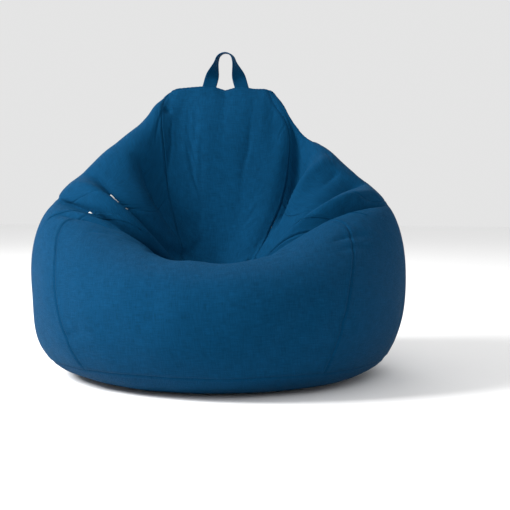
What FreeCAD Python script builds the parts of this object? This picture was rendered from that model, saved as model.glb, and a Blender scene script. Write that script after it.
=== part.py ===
"""Bean bag chair: a sewn outer cover with a carry loop and a rear zip, a zipped liner inside it, and the bead filling.

Frame: millimetres, +Z up, -Y is the sitter's front, origin on the floor under the middle of the bag.

The bag is one smooth closed surface, drawn on a net of rings and columns. A ring goes once round the bag. Ring 0 is
where the bag leaves the floor, and the last ring is the flat top seam. Columns run up the bag like the meridians
of a globe. Over the front, a column climbs the front wall, rolls over the lip, drops into the seat and climbs the
backrest. Every layer (cover, liner, filling) is this surface moved inwards by its own inset, and every cloth panel
is the piece of a layer between two rings and two columns, so neighbouring panels meet edge to edge.
"""

import FreeCAD
import Part
import json
import math
import os
from FreeCAD import Vector

# ---- overall sizes, mm ----
BAG_WIDTH = 908.0  # across the arms
BAG_DEPTH = 900.0  # front wall to rear wall
BAG_HEIGHT = 706.0  # floor to the top seam, without the carry loop

# ---- cloth, liner and filling, mm ----
COVER_CLOTH = 2.0
LINER_GAP = 6.0  # air between the cover and the liner, where the liner's slider runs
LINER_CLOTH = 1.2
FILL_GAP = 2.0  # between the liner and the beads
FILL_HEIGHT = 655.0  # level top of the beads, under the flattened top of the liner

# ---- seams ----
FRONT_SEAM_COLUMN = 5  # columns from the middle of the front to the long front seams
REAR_SEAM_COLUMN = 13  # columns from the middle of the front to the rear side seams
WING_SEAM_HEIGHT = 437.0  # the level seam between each side panel and its wing panel
BASE_SEAM_RING = 1.15
SEAT_SEAM_RING = 8.0
TOP_SEAM_THICKNESS = 10.0  # front to back across the flattened top seam
TOP_SEAM_BACK = 206.0  # how far behind the middle the top seam lies
BINDING_DEPTH = 10.0  # how far the top seam's binding reaches down between the panels
BELLY_HEIGHT = 180.0  # height of the rearmost point of the rear wall

# ---- carry loop, mm ----
STRAP_WIDTH = 36.0
STRAP_THICKNESS = 6.0
LOOP_HEIGHT = 92.0  # top seam to the top of the loop's centreline
LOOP_FOOT_SPREAD = 43.0  # centre of the bag to the middle of each foot
LOOP_CROWN_RADIUS = 22.0  # of the loop's centreline over the top
LOOP_FOOT_GAP = 2.5  # room for the foot to turn over on the seam
FLAT_FOOT = 10.0  # how far up the leg the strap stays flat, so that it folds over the seam
LEG_TWIST = 0.9  # share of the quarter turn that is done where the leg meets the crown
LOOP_SWING = 90.0  # degrees to each side

# ---- zips, mm and degrees round the rear wall's arc ----
TAPE_THICKNESS = 0.8
COIL_GAP = 1.6  # between the two coils, where the slider's post runs
STOP_LENGTH = 3.0
RUN_CLEARANCE = 0.35  # between a slider and what runs through it
COVER_ZIP = dict(
    foot_height=160.0, length=420.0, slot=14.0, coil_width=2.7, coil_height=2.4,
    slider_width=10.0, slider_length=14.0, plate=0.95, pull=True,
)
LINER_ZIP = dict(
    foot_height=230.0, length=300.0, slot=11.0, coil_width=1.9, coil_height=1.8,
    slider_width=7.6, slider_length=10.0, plate=0.75, pull=False,
)
PULL_LENGTH = 24.0
PULL_WIDTH = 7.0
PULL_THICKNESS = 1.2
PULL_BAR_RADIUS = 0.75
PULL_SWING = 170.0
ARCH_LENGTH = 8.0  # the bridge on the slider that the pull's bar sits under
ARCH_WIDTH = 2.0
ARCH_BAND = 1.1
ARCH_INSIDE_HEIGHT = 2.2
PULL_EYE_LENGTH = 7.8

# ---- shape of the bag: shares of its half width, half depth and height, one row for each ring ----
# front (y, z), side (x, y, z), rear (y, z), crest (how steeply the lip rises to the arms), seam azimuth in degrees.
# The rear of the last rings is None: those lie on the rear wall's arc.
RINGS = [
    ((-0.640, 0.000), (0.595, 0.02, 0.000), (0.633, 0.000), 1.0, 50),
    ((-0.790, 0.006), (0.760, 0.02, 0.004), (0.790, 0.008), 1.0, 50),
    ((-0.922, 0.056), (0.905, 0.02, 0.044), (0.915, 0.060), 1.0, 50),
    ((-0.992, 0.160), (0.985, 0.01, 0.154), None, 1.0, 50),
    ((-1.000, 0.276), (1.016, 0.00, 0.276), None, 1.2, 50),
    ((-0.934, 0.374), (1.011, 0.00, 0.408), None, 1.8, 50),
    ((-0.778, 0.422), (0.976, 0.00, 0.530), None, 2.6, 49),
    ((-0.582, 0.414), (0.914, 0.04, 0.618), None, 3.4, 41),
    ((-0.396, 0.348), (0.784, 0.11, 0.683), None, 4.0, 28),
    ((-0.204, 0.283), (0.674, 0.17, 0.737), None, 4.0, 18),
    ((-0.018, 0.300), (0.582, 0.23, 0.785), None, 3.4, 18),
    ((0.129, 0.425), (0.502, 0.28, 0.836), None, 2.6, 27),
    ((0.211, 0.567), (0.432, 0.33, 0.884), None, 2.0, 45),
    ((0.262, 0.708), (0.370, 0.37, 0.926), None, 1.5, 62),
    ((0.302, 0.839), (0.326, 0.41, 0.963), None, 1.1, 68),
    ((0.382, 0.949), (0.300, 0.44, 0.989), None, 1.0, 66),
]
TOP_RING_HALF_WIDTH = 0.282  # share of the half width
TOP_RING_SEAM_AZIMUTH = 64
COLUMNS = 36
CREST_REACH = 0.25  # how much of the crest's steepness also shapes the plan view

# ---- worked out from the sizes above ----
HALF_WIDTH = BAG_WIDTH / 2
HALF_DEPTH = BAG_DEPTH / 2
COLUMN_STEP = 360.0 / COLUMNS
FRONT_PARAMETER = COLUMNS / 2  # the surface's own parameter over the middle of the front; 0 is the middle of the rear
LAST_RING = len(RINGS)  # the top ring follows the table
TOP_PARAMETER = LAST_RING - 2.0
LINER_INSET = COVER_CLOTH + LINER_GAP
FILL_INSET = LINER_INSET + LINER_CLOTH + FILL_GAP
FIRST_ARC_RING = next(i for i, row in enumerate(RINGS) if row[2] is None)

# The rear wall's middle is a true arc, tangent to the vertical at the belly and running up to the top seam's rear edge.
ARC_RUN = HALF_DEPTH - (TOP_SEAM_BACK + TOP_SEAM_THICKNESS / 2)
ARC_RISE = BAG_HEIGHT - BELLY_HEIGHT
ARC_RADIUS = (ARC_RUN**2 + ARC_RISE**2) / (2 * ARC_RUN)
ARC_Y = HALF_DEPTH - ARC_RADIUS
ARC_Z = BELLY_HEIGHT
ARC_TOP_ANGLE = math.asin(ARC_RISE / ARC_RADIUS)
ARC_LOW_ANGLE = -math.radians(6.0)


def on_arc(radius, angle):
    """A point of the middle plane at this radius and angle from the rear wall's arc centre."""
    return Vector(0, ARC_Y + radius * math.cos(angle), ARC_Z + radius * math.sin(angle))


def rear_point(ring):
    """Rear control point of a ring: equal steps up the arc, set out a little so that the cubic surface lies on it."""
    step = (ARC_TOP_ANGLE - ARC_LOW_ANGLE) / (LAST_RING - FIRST_ARC_RING)
    hull = ARC_RADIUS * 3 / (2 + math.cos(step))
    point = on_arc(hull, ARC_LOW_ANGLE + step * (ring - FIRST_ARC_RING))
    return point.y, point.z


def ring_row(ring):
    """Control values of one ring, in mm: front (y, z), side (x, y, z), rear (y, z), crest, seam azimuth."""
    if ring == LAST_RING:
        half = TOP_SEAM_THICKNESS / 2
        front = (TOP_SEAM_BACK - half, BAG_HEIGHT)
        side = (TOP_RING_HALF_WIDTH * HALF_WIDTH, TOP_SEAM_BACK, BAG_HEIGHT)
        rear = (TOP_SEAM_BACK + half, BAG_HEIGHT)
        return front, side, rear, 1.0, TOP_RING_SEAM_AZIMUTH
    (fy, fz), (sx, sy, sz), rear, crest, azimuth = RINGS[ring]
    front = (fy * HALF_DEPTH, fz * BAG_HEIGHT)
    side = (sx * HALF_WIDTH, sy * HALF_DEPTH, sz * BAG_HEIGHT)
    if rear is None:
        rear = rear_point(ring)
    else:
        rear = (rear[0] * HALF_DEPTH, rear[1] * BAG_HEIGHT)
    return front, side, rear, crest, azimuth


def column_azimuth(column, seam_azimuth):
    """Where a column stands on a ring, in degrees from the front, when that ring's front seam is at seam_azimuth."""
    seam = FRONT_SEAM_COLUMN * COLUMN_STEP
    turn = (column * COLUMN_STEP + 180.0) % 360.0 - 180.0
    away = abs(turn)
    if away < seam:
        share = math.sin(away / seam * math.pi / 2)
    else:
        share = math.cos((away - seam) / (180.0 - seam) * math.pi / 2) ** 2
    return math.copysign(away + (seam_azimuth - seam) * share, turn)


def control_net():
    """The bag's control points as rings of columns. Column 0 is the middle of the front."""
    net = []
    for ring in range(LAST_RING + 1):
        front, side, rear, crest, seam_azimuth = ring_row(ring)
        row = []
        for column in range(COLUMNS):
            azimuth = math.radians(column_azimuth(column, seam_azimuth))
            ahead = max(math.cos(azimuth), 0.0)
            behind = max(-math.cos(azimuth), 0.0)
            plan = ahead ** (1 + (crest - 1) * CREST_REACH)
            x = side[0] * math.sin(azimuth)
            y = side[1] + (front[0] - side[1]) * plan + (rear[0] - side[1]) * behind
            z = side[2] + (front[1] - side[2]) * ahead**crest + (rear[1] - side[2]) * behind
            row.append(Vector(x, y, z))
        net.append(row)
    return net


def inset_net(net, inset):
    """The net moved inwards by inset along its own normals. The floor ring and the top ring stay level."""
    moved = []
    for ring in range(1, LAST_RING):
        row = []
        for column in range(COLUMNS):
            up = net[ring + 1][column] - net[ring - 1][column]
            across = net[ring][(column + 1) % COLUMNS] - net[ring][column - 1]
            normal = across.cross(up).normalize()
            row.append(net[ring][column] - normal * inset)
        moved.append(row)
    floor = [Vector(p.x, p.y, inset) for p in net[0]]
    half = TOP_SEAM_THICKNESS / 2
    thin = max(half - inset, COVER_CLOTH) / half
    narrow = 1 - inset / (TOP_RING_HALF_WIDTH * HALF_WIDTH)
    drop = 2 * inset
    top = [
        Vector(p.x * narrow, TOP_SEAM_BACK + (p.y - TOP_SEAM_BACK) * thin, BAG_HEIGHT - drop)
        for p in net[LAST_RING]
    ]
    return [floor, *moved, top]


def layer(inset, top=BAG_HEIGHT):
    """The bag's surface at an inset: cubic, clamped from the floor to the top seam, periodic round the bag.

    Anything over the top height is brought down to it, which closes the layer with a level top.
    """
    net = control_net()
    if inset:
        net = inset_net(net, inset)
    net = [[Vector(p.x, p.y, min(p.z, top)) for p in row] for row in net]
    first = COLUMNS // 2 - 1  # puts parameter 0 over the middle of the rear
    poles = [[row[(first + k) % COLUMNS] for k in range(COLUMNS)] for row in net]
    spans = LAST_RING - 2
    surface = Part.BSplineSurface()
    surface.buildFromPolesMultsKnots(
        poles,
        [4] + [1] * (spans - 1) + [4],
        [1] * (COLUMNS + 1),
        [float(k) for k in range(spans + 1)],
        [float(k) for k in range(COLUMNS + 1)],
        False,
        True,
        3,
        3,
    )
    return surface


def solid_from(faces):
    """One closed solid from faces that meet along their edges."""
    joined = Part.makeCompound(faces)
    joined.sewShape(0.01)
    solid = Part.makeSolid(Part.makeShell(joined.Faces))
    if solid.Volume < 0:
        solid.reverse()
    return solid


def ring_edge(surface, ring, start=0.0, end=float(COLUMNS)):
    """The edge that follows one ring between two column parameters."""
    return surface.uIso(ring).toShape(start, end)


def column_edge(surface, column, start, end):
    """The edge that follows one column between two ring parameters."""
    return surface.vIso(column).toShape(start, end)


def panel(outer, inner, rings, columns):
    """A cloth panel: the space between two layers, from one ring to another and one column to another."""
    (low, high), (start, end) = rings, columns
    faces = [s.toShape(low, high, start, end) for s in (outer, inner)]
    for ring in rings:
        faces.append(Part.makeRuledSurface(ring_edge(outer, ring, start, end), ring_edge(inner, ring, start, end)))
    for column in columns:
        faces.append(
            Part.makeRuledSurface(column_edge(outer, column, low, high), column_edge(inner, column, low, high))
        )
    return solid_from(faces)


def level_disc(surface, ring):
    """The flat face inside a level ring."""
    return Part.Face(Part.Wire([ring_edge(surface, ring)]))


def base_panel(outer, inner):
    """The base: a flat disc on the floor with its rim turned up to the base seam."""
    full = (0.0, float(COLUMNS))
    faces = [s.toShape(0.0, BASE_SEAM_RING, *full) for s in (outer, inner)]
    faces += [level_disc(outer, 0.0), level_disc(inner, 0.0)]
    faces.append(Part.makeRuledSurface(ring_edge(outer, BASE_SEAM_RING), ring_edge(inner, BASE_SEAM_RING)))
    return solid_from(faces)


def whole_bag(surface):
    """The closed solid inside a layer."""
    wall = surface.toShape(0.0, TOP_PARAMETER, 0.0, float(COLUMNS))
    return solid_from([wall, level_disc(surface, 0.0), level_disc(surface, TOP_PARAMETER)])


def seam_columns():
    """Column parameters of the seams, from the middle of the rear round the wearer's left side and back."""
    front_left = FRONT_PARAMETER - FRONT_SEAM_COLUMN
    front_right = FRONT_PARAMETER + FRONT_SEAM_COLUMN
    rear_left = FRONT_PARAMETER - REAR_SEAM_COLUMN
    rear_right = FRONT_PARAMETER + REAR_SEAM_COLUMN
    return rear_left, front_left, front_right, rear_right


def level_cut(solid, height):
    """A solid cut by a level plane: the part below it and the part above it."""
    reach = 2 * max(BAG_WIDTH, BAG_DEPTH, BAG_HEIGHT)
    below = Part.makeBox(2 * reach, 2 * reach, reach, Vector(-reach, -reach, height - reach))
    above = Part.makeBox(2 * reach, 2 * reach, reach, Vector(-reach, -reach, height))
    return solid.common(below), solid.common(above)


def cover_panels(outer, inner):
    """The nine panels of the outer cover, before the zip's slot is cut."""
    rear_left, front_left, front_right, rear_right = seam_columns()
    wall = (BASE_SEAM_RING, TOP_PARAMETER)
    left_low, left_high = level_cut(panel(outer, inner, wall, (rear_left, front_left)), WING_SEAM_HEIGHT)
    right_low, right_high = level_cut(panel(outer, inner, wall, (front_right, rear_right)), WING_SEAM_HEIGHT)
    return {
        "cover_base_panel": base_panel(outer, inner),
        "cover_front_panel": panel(outer, inner, (BASE_SEAM_RING, SEAT_SEAM_RING), (front_left, front_right)),
        "cover_backrest_panel": panel(outer, inner, (SEAT_SEAM_RING, TOP_PARAMETER), (front_left, front_right)),
        "cover_left_side_panel": left_low,
        "cover_right_side_panel": right_low,
        "cover_left_wing_panel": left_high,
        "cover_right_wing_panel": right_high,
        "cover_rear_left_panel": panel(outer, inner, wall, (0.0, rear_left)),
        "cover_rear_right_panel": panel(outer, inner, wall, (rear_right, float(COLUMNS))),
    }


def top_binding(outer, inner):
    """The binding that closes the top seam: a cap flush with the panels' edges and a tongue between them."""
    outline, inside = (Part.Wire([ring_edge(s, TOP_PARAMETER)]) for s in (outer, inner))
    cap = Part.makeLoft([inside, outline], True, True)
    tongue = Part.Face(inside).extrude(Vector(0, 0, -BINDING_DEPTH))
    return cap.fuse(tongue).removeSplitter()


def liner_panels(outer, inner):
    """The liner: a base disc, a front gore over the seat, two side gores and two rear gores that hold its zip."""
    rear_left, front_left, front_right, rear_right = seam_columns()
    wall = (BASE_SEAM_RING, TOP_PARAMETER)
    spans = {
        "liner_front_gore": (front_left, front_right),
        "liner_left_gore": (rear_left, front_left),
        "liner_right_gore": (front_right, rear_right),
        "liner_rear_left_gore": (0.0, rear_left),
        "liner_rear_right_gore": (rear_right, float(COLUMNS)),
    }
    gores = {name: panel(outer, inner, wall, span) for name, span in spans.items()}
    return {"liner_base": base_panel(outer, inner), **gores}


# ---- zips: made on the rear wall's arc ----
def arc_block(half_width, radii, angles, x_from=None):
    """A block that follows the rear arc: from x_from (or minus half_width) to half_width, between two radii and two angles."""
    left = -half_width if x_from is None else x_from
    (inside, outside), (low, high) = radii, angles
    corners = [Vector(x, ARC_Y + r, ARC_Z) for x, r in ((left, inside), (half_width, inside))]
    corners += [Vector(x, ARC_Y + r, ARC_Z) for x, r in ((half_width, outside), (left, outside))]
    face = Part.Face(Part.makePolygon([*corners, corners[0]]))
    face.rotate(Vector(0, ARC_Y, ARC_Z), Vector(1, 0, 0), math.degrees(low))
    return face.revolve(Vector(0, ARC_Y, ARC_Z), Vector(1, 0, 0), math.degrees(high - low))


def zip_angles(size):
    """The slot's lower and upper angle on the arc, and the angle that one stop takes."""
    low = math.asin((size["foot_height"] - ARC_Z) / ARC_RADIUS)
    return low, low + size["length"] / ARC_RADIUS, STOP_LENGTH / ARC_RADIUS


def zip_slot(size, radius):
    """The opening that the zip fills, through any cloth near this radius."""
    low, high, _ = zip_angles(size)
    reach = COVER_CLOTH + LINER_GAP / 2
    return arc_block(size["slot"] / 2, (radius - reach, radius + reach), (low, high))


def slider_half_angle(size):
    """Half of the slider's length, as an angle on the arc."""
    return size["slider_length"] / 2 / ARC_RADIUS


def rest_angle(size):
    """Where the slider's middle stands when the zip is closed: just under the top stop."""
    low, high, stop = zip_angles(size)
    return high - stop - slider_half_angle(size) - RUN_CLEARANCE / ARC_RADIUS


def travel_degrees(size):
    """How far the slider runs from the top stop down to the bottom stop, in degrees round the arc."""
    low, high, stop = zip_angles(size)
    lowest = low + stop + slider_half_angle(size) + RUN_CLEARANCE / ARC_RADIUS
    return math.degrees(rest_angle(size) - lowest)


def zip_chain(size, radius):
    """Tapes, coils and stops of a zip whose middle plane is at this radius."""
    low, high, stop = zip_angles(size)
    coil_in = COIL_GAP / 2
    coil_out = coil_in + size["coil_width"]
    tape = (radius - TAPE_THICKNESS / 2, radius + TAPE_THICKNESS / 2)
    coil = (radius - size["coil_height"] / 2, radius + size["coil_height"] / 2)
    pieces = {
        "tape_right": arc_block(size["slot"] / 2, tape, (low, high), coil_out),
        "coil_right": arc_block(coil_out, coil, (low + stop, high - stop), coil_in),
        "bottom_stop": arc_block(coil_out, coil, (low, low + stop)),
        "top_stop": arc_block(coil_out, coil, (high - stop, high)),
    }
    for kind in ("tape", "coil"):
        pieces[kind + "_left"] = pieces[kind + "_right"].mirror(Vector(0, 0, 0), Vector(1, 0, 0))
    return pieces


def block(width, depths, heights):
    """A box centred on x, between two depths along y and two heights along z."""
    corner = Vector(-width / 2, depths[0], heights[0])
    return Part.makeBox(width, depths[1] - depths[0], heights[1] - heights[0], corner)


def on_chain(shape, radius, angle):
    """Puts a shape that was made round the origin (y outwards, z along the chain) onto the arc."""
    placed = shape.copy()
    placed.translate(Vector(0, ARC_Y + radius, ARC_Z))
    placed.rotate(Vector(0, ARC_Y, ARC_Z), Vector(1, 0, 0), math.degrees(angle))
    return placed


def slider_top(size):
    """Height of the slider's top face over the chain's middle plane."""
    return size["coil_height"] / 2 + RUN_CLEARANCE + size["plate"]


def pull_axis(size):
    """Where the pull's bar lies on the slider: height over the chain's middle plane, place along the chain."""
    return slider_top(size) + ARCH_INSIDE_HEIGHT / 2, -ARCH_LENGTH / 2 + ARCH_BAND + PULL_BAR_RADIUS + RUN_CLEARANCE


def slider_body(size):
    """A slider: two plates joined by a post between the coils, with channels for the coils and the tapes."""
    top, half = slider_top(size), size["slider_length"] / 2
    body = block(size["slider_width"], (-top, top), (-half, half))
    body = body.makeFillet(size["plate"] * 0.6, [e for e in body.Edges if abs(e.Length - 2 * half) < 1e-6])
    channel = 2 * (COIL_GAP / 2 + size["coil_width"] + RUN_CLEARANCE)
    coils = size["coil_height"] / 2 + RUN_CLEARANCE
    tapes = TAPE_THICKNESS / 2 + RUN_CLEARANCE
    body = body.cut(block(channel, (-coils, coils), (-2 * half, 2 * half)))
    body = body.cut(block(2 * size["slider_width"], (-tapes, tapes), (-2 * half, 2 * half)))
    post = COIL_GAP - 2 * RUN_CLEARANCE
    body = body.fuse(block(post, (-top + size["plate"] / 2, top - size["plate"] / 2), (half * 0.4, half * 0.9)))
    if size["pull"]:
        rise = top + ARCH_INSIDE_HEIGHT + ARCH_BAND
        arch = block(ARCH_WIDTH, (top - size["plate"] / 2, rise), (-ARCH_LENGTH / 2, ARCH_LENGTH / 2))
        inside = ARCH_LENGTH / 2 - ARCH_BAND
        body = body.fuse(arch).cut(block(2 * ARCH_WIDTH, (top, top + ARCH_INSIDE_HEIGHT), (-inside, inside)))
    return body.removeSplitter()


def pull_tab(size):
    """The pull: a flat tab with an eye that clears the slider's arch, hung on a round bar under the arch."""
    height, along = pull_axis(size)
    half = PULL_THICKNESS / 2
    tab = block(PULL_WIDTH, (height - half, height + half), (along - PULL_LENGTH, along))
    corners = [e for e in tab.Edges if abs(e.Length - PULL_THICKNESS) < 1e-6 and e.CenterOfMass.z < along - 1]
    tab = tab.makeFillet(PULL_WIDTH * 0.35, corners)
    eye = block(ARCH_WIDTH + 4 * RUN_CLEARANCE, (height - 2, height + 2), (along - PULL_EYE_LENGTH, along + 1))
    bar = Part.makeCylinder(PULL_BAR_RADIUS, PULL_WIDTH, Vector(-PULL_WIDTH / 2, height, along), Vector(1, 0, 0))
    return tab.cut(eye).fuse(bar).removeSplitter()


# ---- carry loop ----
def loop_stations():
    """Centreline of the loop in the seam's plane, as (x, height over the seam, lean, share of the quarter turn).

    Each leg is straight and leans inwards until it meets the crown's arc. The strap turns a quarter on the way up.
    """
    crown = LOOP_HEIGHT - LOOP_CROWN_RADIUS  # height of the arc's centre
    away = math.hypot(LOOP_FOOT_SPREAD, crown)
    lean = math.atan2(LOOP_FOOT_SPREAD, crown) - math.asin(LOOP_CROWN_RADIUS / away)
    leg = math.sqrt(away**2 - LOOP_CROWN_RADIUS**2)
    buried = STRAP_WIDTH / 2 * math.tan(lean)  # lets the foot be cut level
    steps = 8
    right = []
    for k in range(steps):
        share = k / steps
        along = leg * share - buried * (1 - share)
        x, height = LOOP_FOOT_SPREAD - along * math.sin(lean), along * math.cos(lean)
        turned = max(0.0, along - FLAT_FOOT) / (leg - FLAT_FOOT)
        right.append((x, height, lean, LEG_TWIST * turned**2 * (3 - 2 * turned)))
    for k in range(steps + 1):
        turn = lean + (math.pi / 2 - lean) * k / steps
        x, height = LOOP_CROWN_RADIUS * math.cos(turn), crown + LOOP_CROWN_RADIUS * math.sin(turn)
        right.append((x, height, turn, LEG_TWIST + (1 - LEG_TWIST) * math.sin(math.pi / 2 * k / steps)))
    left = [(-x, height, math.pi - lean, 2 - twist) for x, height, lean, twist in reversed(right[:-1])]
    return right + left


def carry_loop():
    """The strap of the carry loop: flat across the seam at its feet, turned edge-on over the top."""
    corners = [[], [], [], []]
    for x, height, lean, twist in loop_stations():
        centre = Vector(x, TOP_SEAM_BACK, BAG_HEIGHT + height)
        outwards = Vector(math.cos(lean), 0, math.sin(lean))
        turn = twist * math.pi / 2
        across = outwards * math.cos(turn) + Vector(0, 1, 0) * math.sin(turn)
        through = Vector(0, 1, 0) * math.cos(turn) - outwards * math.sin(turn)
        a, b = across * (STRAP_WIDTH / 2), through * (STRAP_THICKNESS / 2)
        for line, point in zip(corners, (centre - a - b, centre + a - b, centre + a + b, centre - a + b)):
            line.append(point)
    edges = []
    for line in corners:
        curve = Part.BSplineCurve()
        curve.interpolate(line)
        edges.append(curve.toShape())
    same_way = 1
    sides = [Part.makeRuledSurface(edges[k - 1], edges[k], same_way) for k in range(4)]
    ends = []
    for k in (0, -1):
        end = [line[k] for line in corners]
        ends.append(Part.Face(Part.makePolygon([*end, end[0]])))
    strap = solid_from(sides + ends)
    _, above = level_cut(strap, BAG_HEIGHT + LOOP_FOOT_GAP)
    return above


def build():
    """Every node of the chair, by name."""
    cover_out, cover_in = layer(0.0), layer(COVER_CLOTH)
    liner_out, liner_in = layer(LINER_INSET), layer(LINER_INSET + LINER_CLOTH)
    nodes = {**cover_panels(cover_out, cover_in), **liner_panels(liner_out, liner_in)}
    nodes["cover_top_binding"] = top_binding(cover_out, cover_in)
    nodes["carry_loop"] = carry_loop()
    for prefix, size, inset, cloth in (
        ("cover", COVER_ZIP, 0.0, COVER_CLOTH),
        ("liner", LINER_ZIP, LINER_INSET, LINER_CLOTH),
    ):
        radius = ARC_RADIUS - inset - cloth / 2
        slot = zip_slot(size, radius)
        for name in [n for n in nodes if n.startswith(prefix + "_rear")]:
            nodes[name] = nodes[name].cut(slot)
        for kind, shape in zip_chain(size, radius).items():
            nodes[f"{prefix}_zip_{kind}"] = shape
        angle = rest_angle(size)
        nodes[f"{prefix}_zip_slider"] = on_chain(slider_body(size), radius, angle)
        if size["pull"]:
            nodes[f"{prefix}_zip_pull"] = on_chain(pull_tab(size), radius, angle)
    nodes["bead_filling"] = whole_bag(layer(FILL_INSET, FILL_HEIGHT))
    return nodes


def joint_facts():
    """Where the moving pieces turn, in metres and degrees, for the record."""
    radius = ARC_RADIUS - COVER_CLOTH / 2
    height, along = pull_axis(COVER_ZIP)
    angle = rest_angle(COVER_ZIP)
    reach = math.hypot(radius + height, along)
    bar = on_arc(reach, angle + math.atan2(along, radius + height))
    return {
        "arc_centre_m": [0, round(ARC_Y / 1000, 6), round(ARC_Z / 1000, 6)],
        "arc_radius_mm": round(ARC_RADIUS, 3),
        "cover_travel_deg": round(travel_degrees(COVER_ZIP), 3),
        "liner_travel_deg": round(travel_degrees(LINER_ZIP), 3),
        "pull_axis_m": [0, round(bar.y / 1000, 6), round(bar.z / 1000, 6)],
        "pull_swing_deg": PULL_SWING,
        "loop_axis_m": [
            0,
            TOP_SEAM_BACK / 1000,
            round((BAG_HEIGHT + LOOP_FOOT_GAP + STRAP_THICKNESS / 2) / 1000, 6),
        ],
        "loop_swing_deg": LOOP_SWING,
    }


if __name__ == "__main__":
    os.makedirs("parts", exist_ok=True)
    for name, shape in build().items():
        if not shape.isValid() or not shape.Solids:
            raise RuntimeError(f"{name} is not a valid solid")
        shape.exportStep(f"parts/{name}.step")
        box = shape.BoundBox
        print(f"{name}: {box.XLength:.1f} x {box.YLength:.1f} x {box.ZLength:.1f} mm, {shape.Volume / 1000:.2f} cm3")
    print(json.dumps(joint_facts()))
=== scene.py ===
"""Bean bag chair: the cloth, seams, strap, zips, liner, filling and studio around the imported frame.

Every cloth panel is cut from one surface. It is a net of rings and columns, smoothed to a cubic surface, creased
along the folds, and settled by a cloth simulation with air pressure inside. Ring parameter 0 is where the bag
leaves the floor, and the last ring is the top seam. Columns are given in degrees round the bag: 0 is the middle
of the front, 90 is the +X side and 180 the middle of the rear. Metres throughout.
"""

import functools
import math

import bpy
import numpy as np
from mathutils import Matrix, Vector


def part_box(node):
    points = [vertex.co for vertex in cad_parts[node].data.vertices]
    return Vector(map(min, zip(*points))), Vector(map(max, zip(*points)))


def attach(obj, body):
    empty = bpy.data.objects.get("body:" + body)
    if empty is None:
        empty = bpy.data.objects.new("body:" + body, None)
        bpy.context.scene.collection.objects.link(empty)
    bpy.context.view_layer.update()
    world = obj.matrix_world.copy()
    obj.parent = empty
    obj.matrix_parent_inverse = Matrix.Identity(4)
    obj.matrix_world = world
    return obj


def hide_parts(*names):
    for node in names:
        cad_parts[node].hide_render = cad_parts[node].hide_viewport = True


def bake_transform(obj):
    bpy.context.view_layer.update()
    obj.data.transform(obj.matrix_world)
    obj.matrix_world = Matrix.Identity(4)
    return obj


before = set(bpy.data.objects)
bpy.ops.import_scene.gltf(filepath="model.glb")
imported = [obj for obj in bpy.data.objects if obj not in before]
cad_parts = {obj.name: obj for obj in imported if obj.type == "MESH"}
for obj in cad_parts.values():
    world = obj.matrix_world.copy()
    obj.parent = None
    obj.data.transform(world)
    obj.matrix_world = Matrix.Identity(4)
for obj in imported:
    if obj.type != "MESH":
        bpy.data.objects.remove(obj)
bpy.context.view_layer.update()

bl_info = {
    "name": "Bean Bag Chair",
    "version": (1, 0, 0),
    "blender": (4, 5, 0),
    "location": "View3D > Sidebar > Bean Bag",
    "description": "Makes the cloth, seams, strap, zips, liner and filling of a bean bag chair",
    "category": "Object",
}

# ---- sizes of the bag, as in the frame ----
BAG_HALF_WIDTH = 0.454
BAG_HALF_DEPTH = 0.450
BAG_HEIGHT = 0.706
TOP_SEAM_BACK = 0.206
TOP_SEAM_THICKNESS = 0.010
BELLY_HEIGHT = 0.180
COLUMNS = 36
FRONT_SEAM = 50.0  # degrees from the middle of the front
REAR_SEAM = 130.0
BASE_SEAM = 1.15  # ring parameters
SEAT_SEAM = 8.0
TOP_RING = 14.0
COVER_CLOTH = 0.002
LINER_INSET = 0.008
LINER_CLOTH = 0.0012
FILL_INSET = 0.0115
FILL_HEIGHT = 0.655
STRAP_WIDTH = 0.036
LOOP_HEIGHT = 0.092
LOOP_FOOT_SPREAD = 0.043
LOOP_CROWN_RADIUS = 0.022
LOOP_TWIST = 0.9
LOOP_FLAT_FOOT = 0.010
COVER_SLOT_HALF = 0.007
COVER_ZIP_LOW = 0.16
COVER_ZIP_LENGTH = 0.42
LINER_ZIP_LOW = 0.224
LINER_SLOT_HALF = 0.0055

# front (y, z), side (x, y, z), rear (y, z), crest, seam azimuth: shares of half width, half depth and height
RINGS = [
    ((-0.640, 0.000), (0.595, 0.02, 0.000), (0.633, 0.000), 1.0, 50),
    ((-0.790, 0.006), (0.760, 0.02, 0.004), (0.790, 0.008), 1.0, 50),
    ((-0.922, 0.056), (0.905, 0.02, 0.044), (0.915, 0.060), 1.0, 50),
    ((-0.992, 0.160), (0.985, 0.01, 0.154), None, 1.0, 50),
    ((-1.000, 0.276), (1.016, 0.00, 0.276), None, 1.2, 50),
    ((-0.934, 0.374), (1.011, 0.00, 0.408), None, 1.8, 50),
    ((-0.778, 0.422), (0.976, 0.00, 0.530), None, 2.6, 49),
    ((-0.582, 0.414), (0.914, 0.04, 0.618), None, 3.4, 41),
    ((-0.396, 0.348), (0.784, 0.11, 0.683), None, 4.0, 28),
    ((-0.204, 0.283), (0.674, 0.17, 0.737), None, 4.0, 18),
    ((-0.018, 0.300), (0.582, 0.23, 0.785), None, 3.4, 18),
    ((0.129, 0.425), (0.502, 0.28, 0.836), None, 2.6, 27),
    ((0.211, 0.567), (0.432, 0.33, 0.884), None, 2.0, 45),
    ((0.262, 0.708), (0.370, 0.37, 0.926), None, 1.5, 62),
    ((0.302, 0.839), (0.326, 0.41, 0.963), None, 1.1, 68),
    ((0.382, 0.949), (0.300, 0.44, 0.989), None, 1.0, 66),
]
TOP_RING_HALF_WIDTH = 0.282
TOP_RING_SEAM_AZIMUTH = 64

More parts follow.
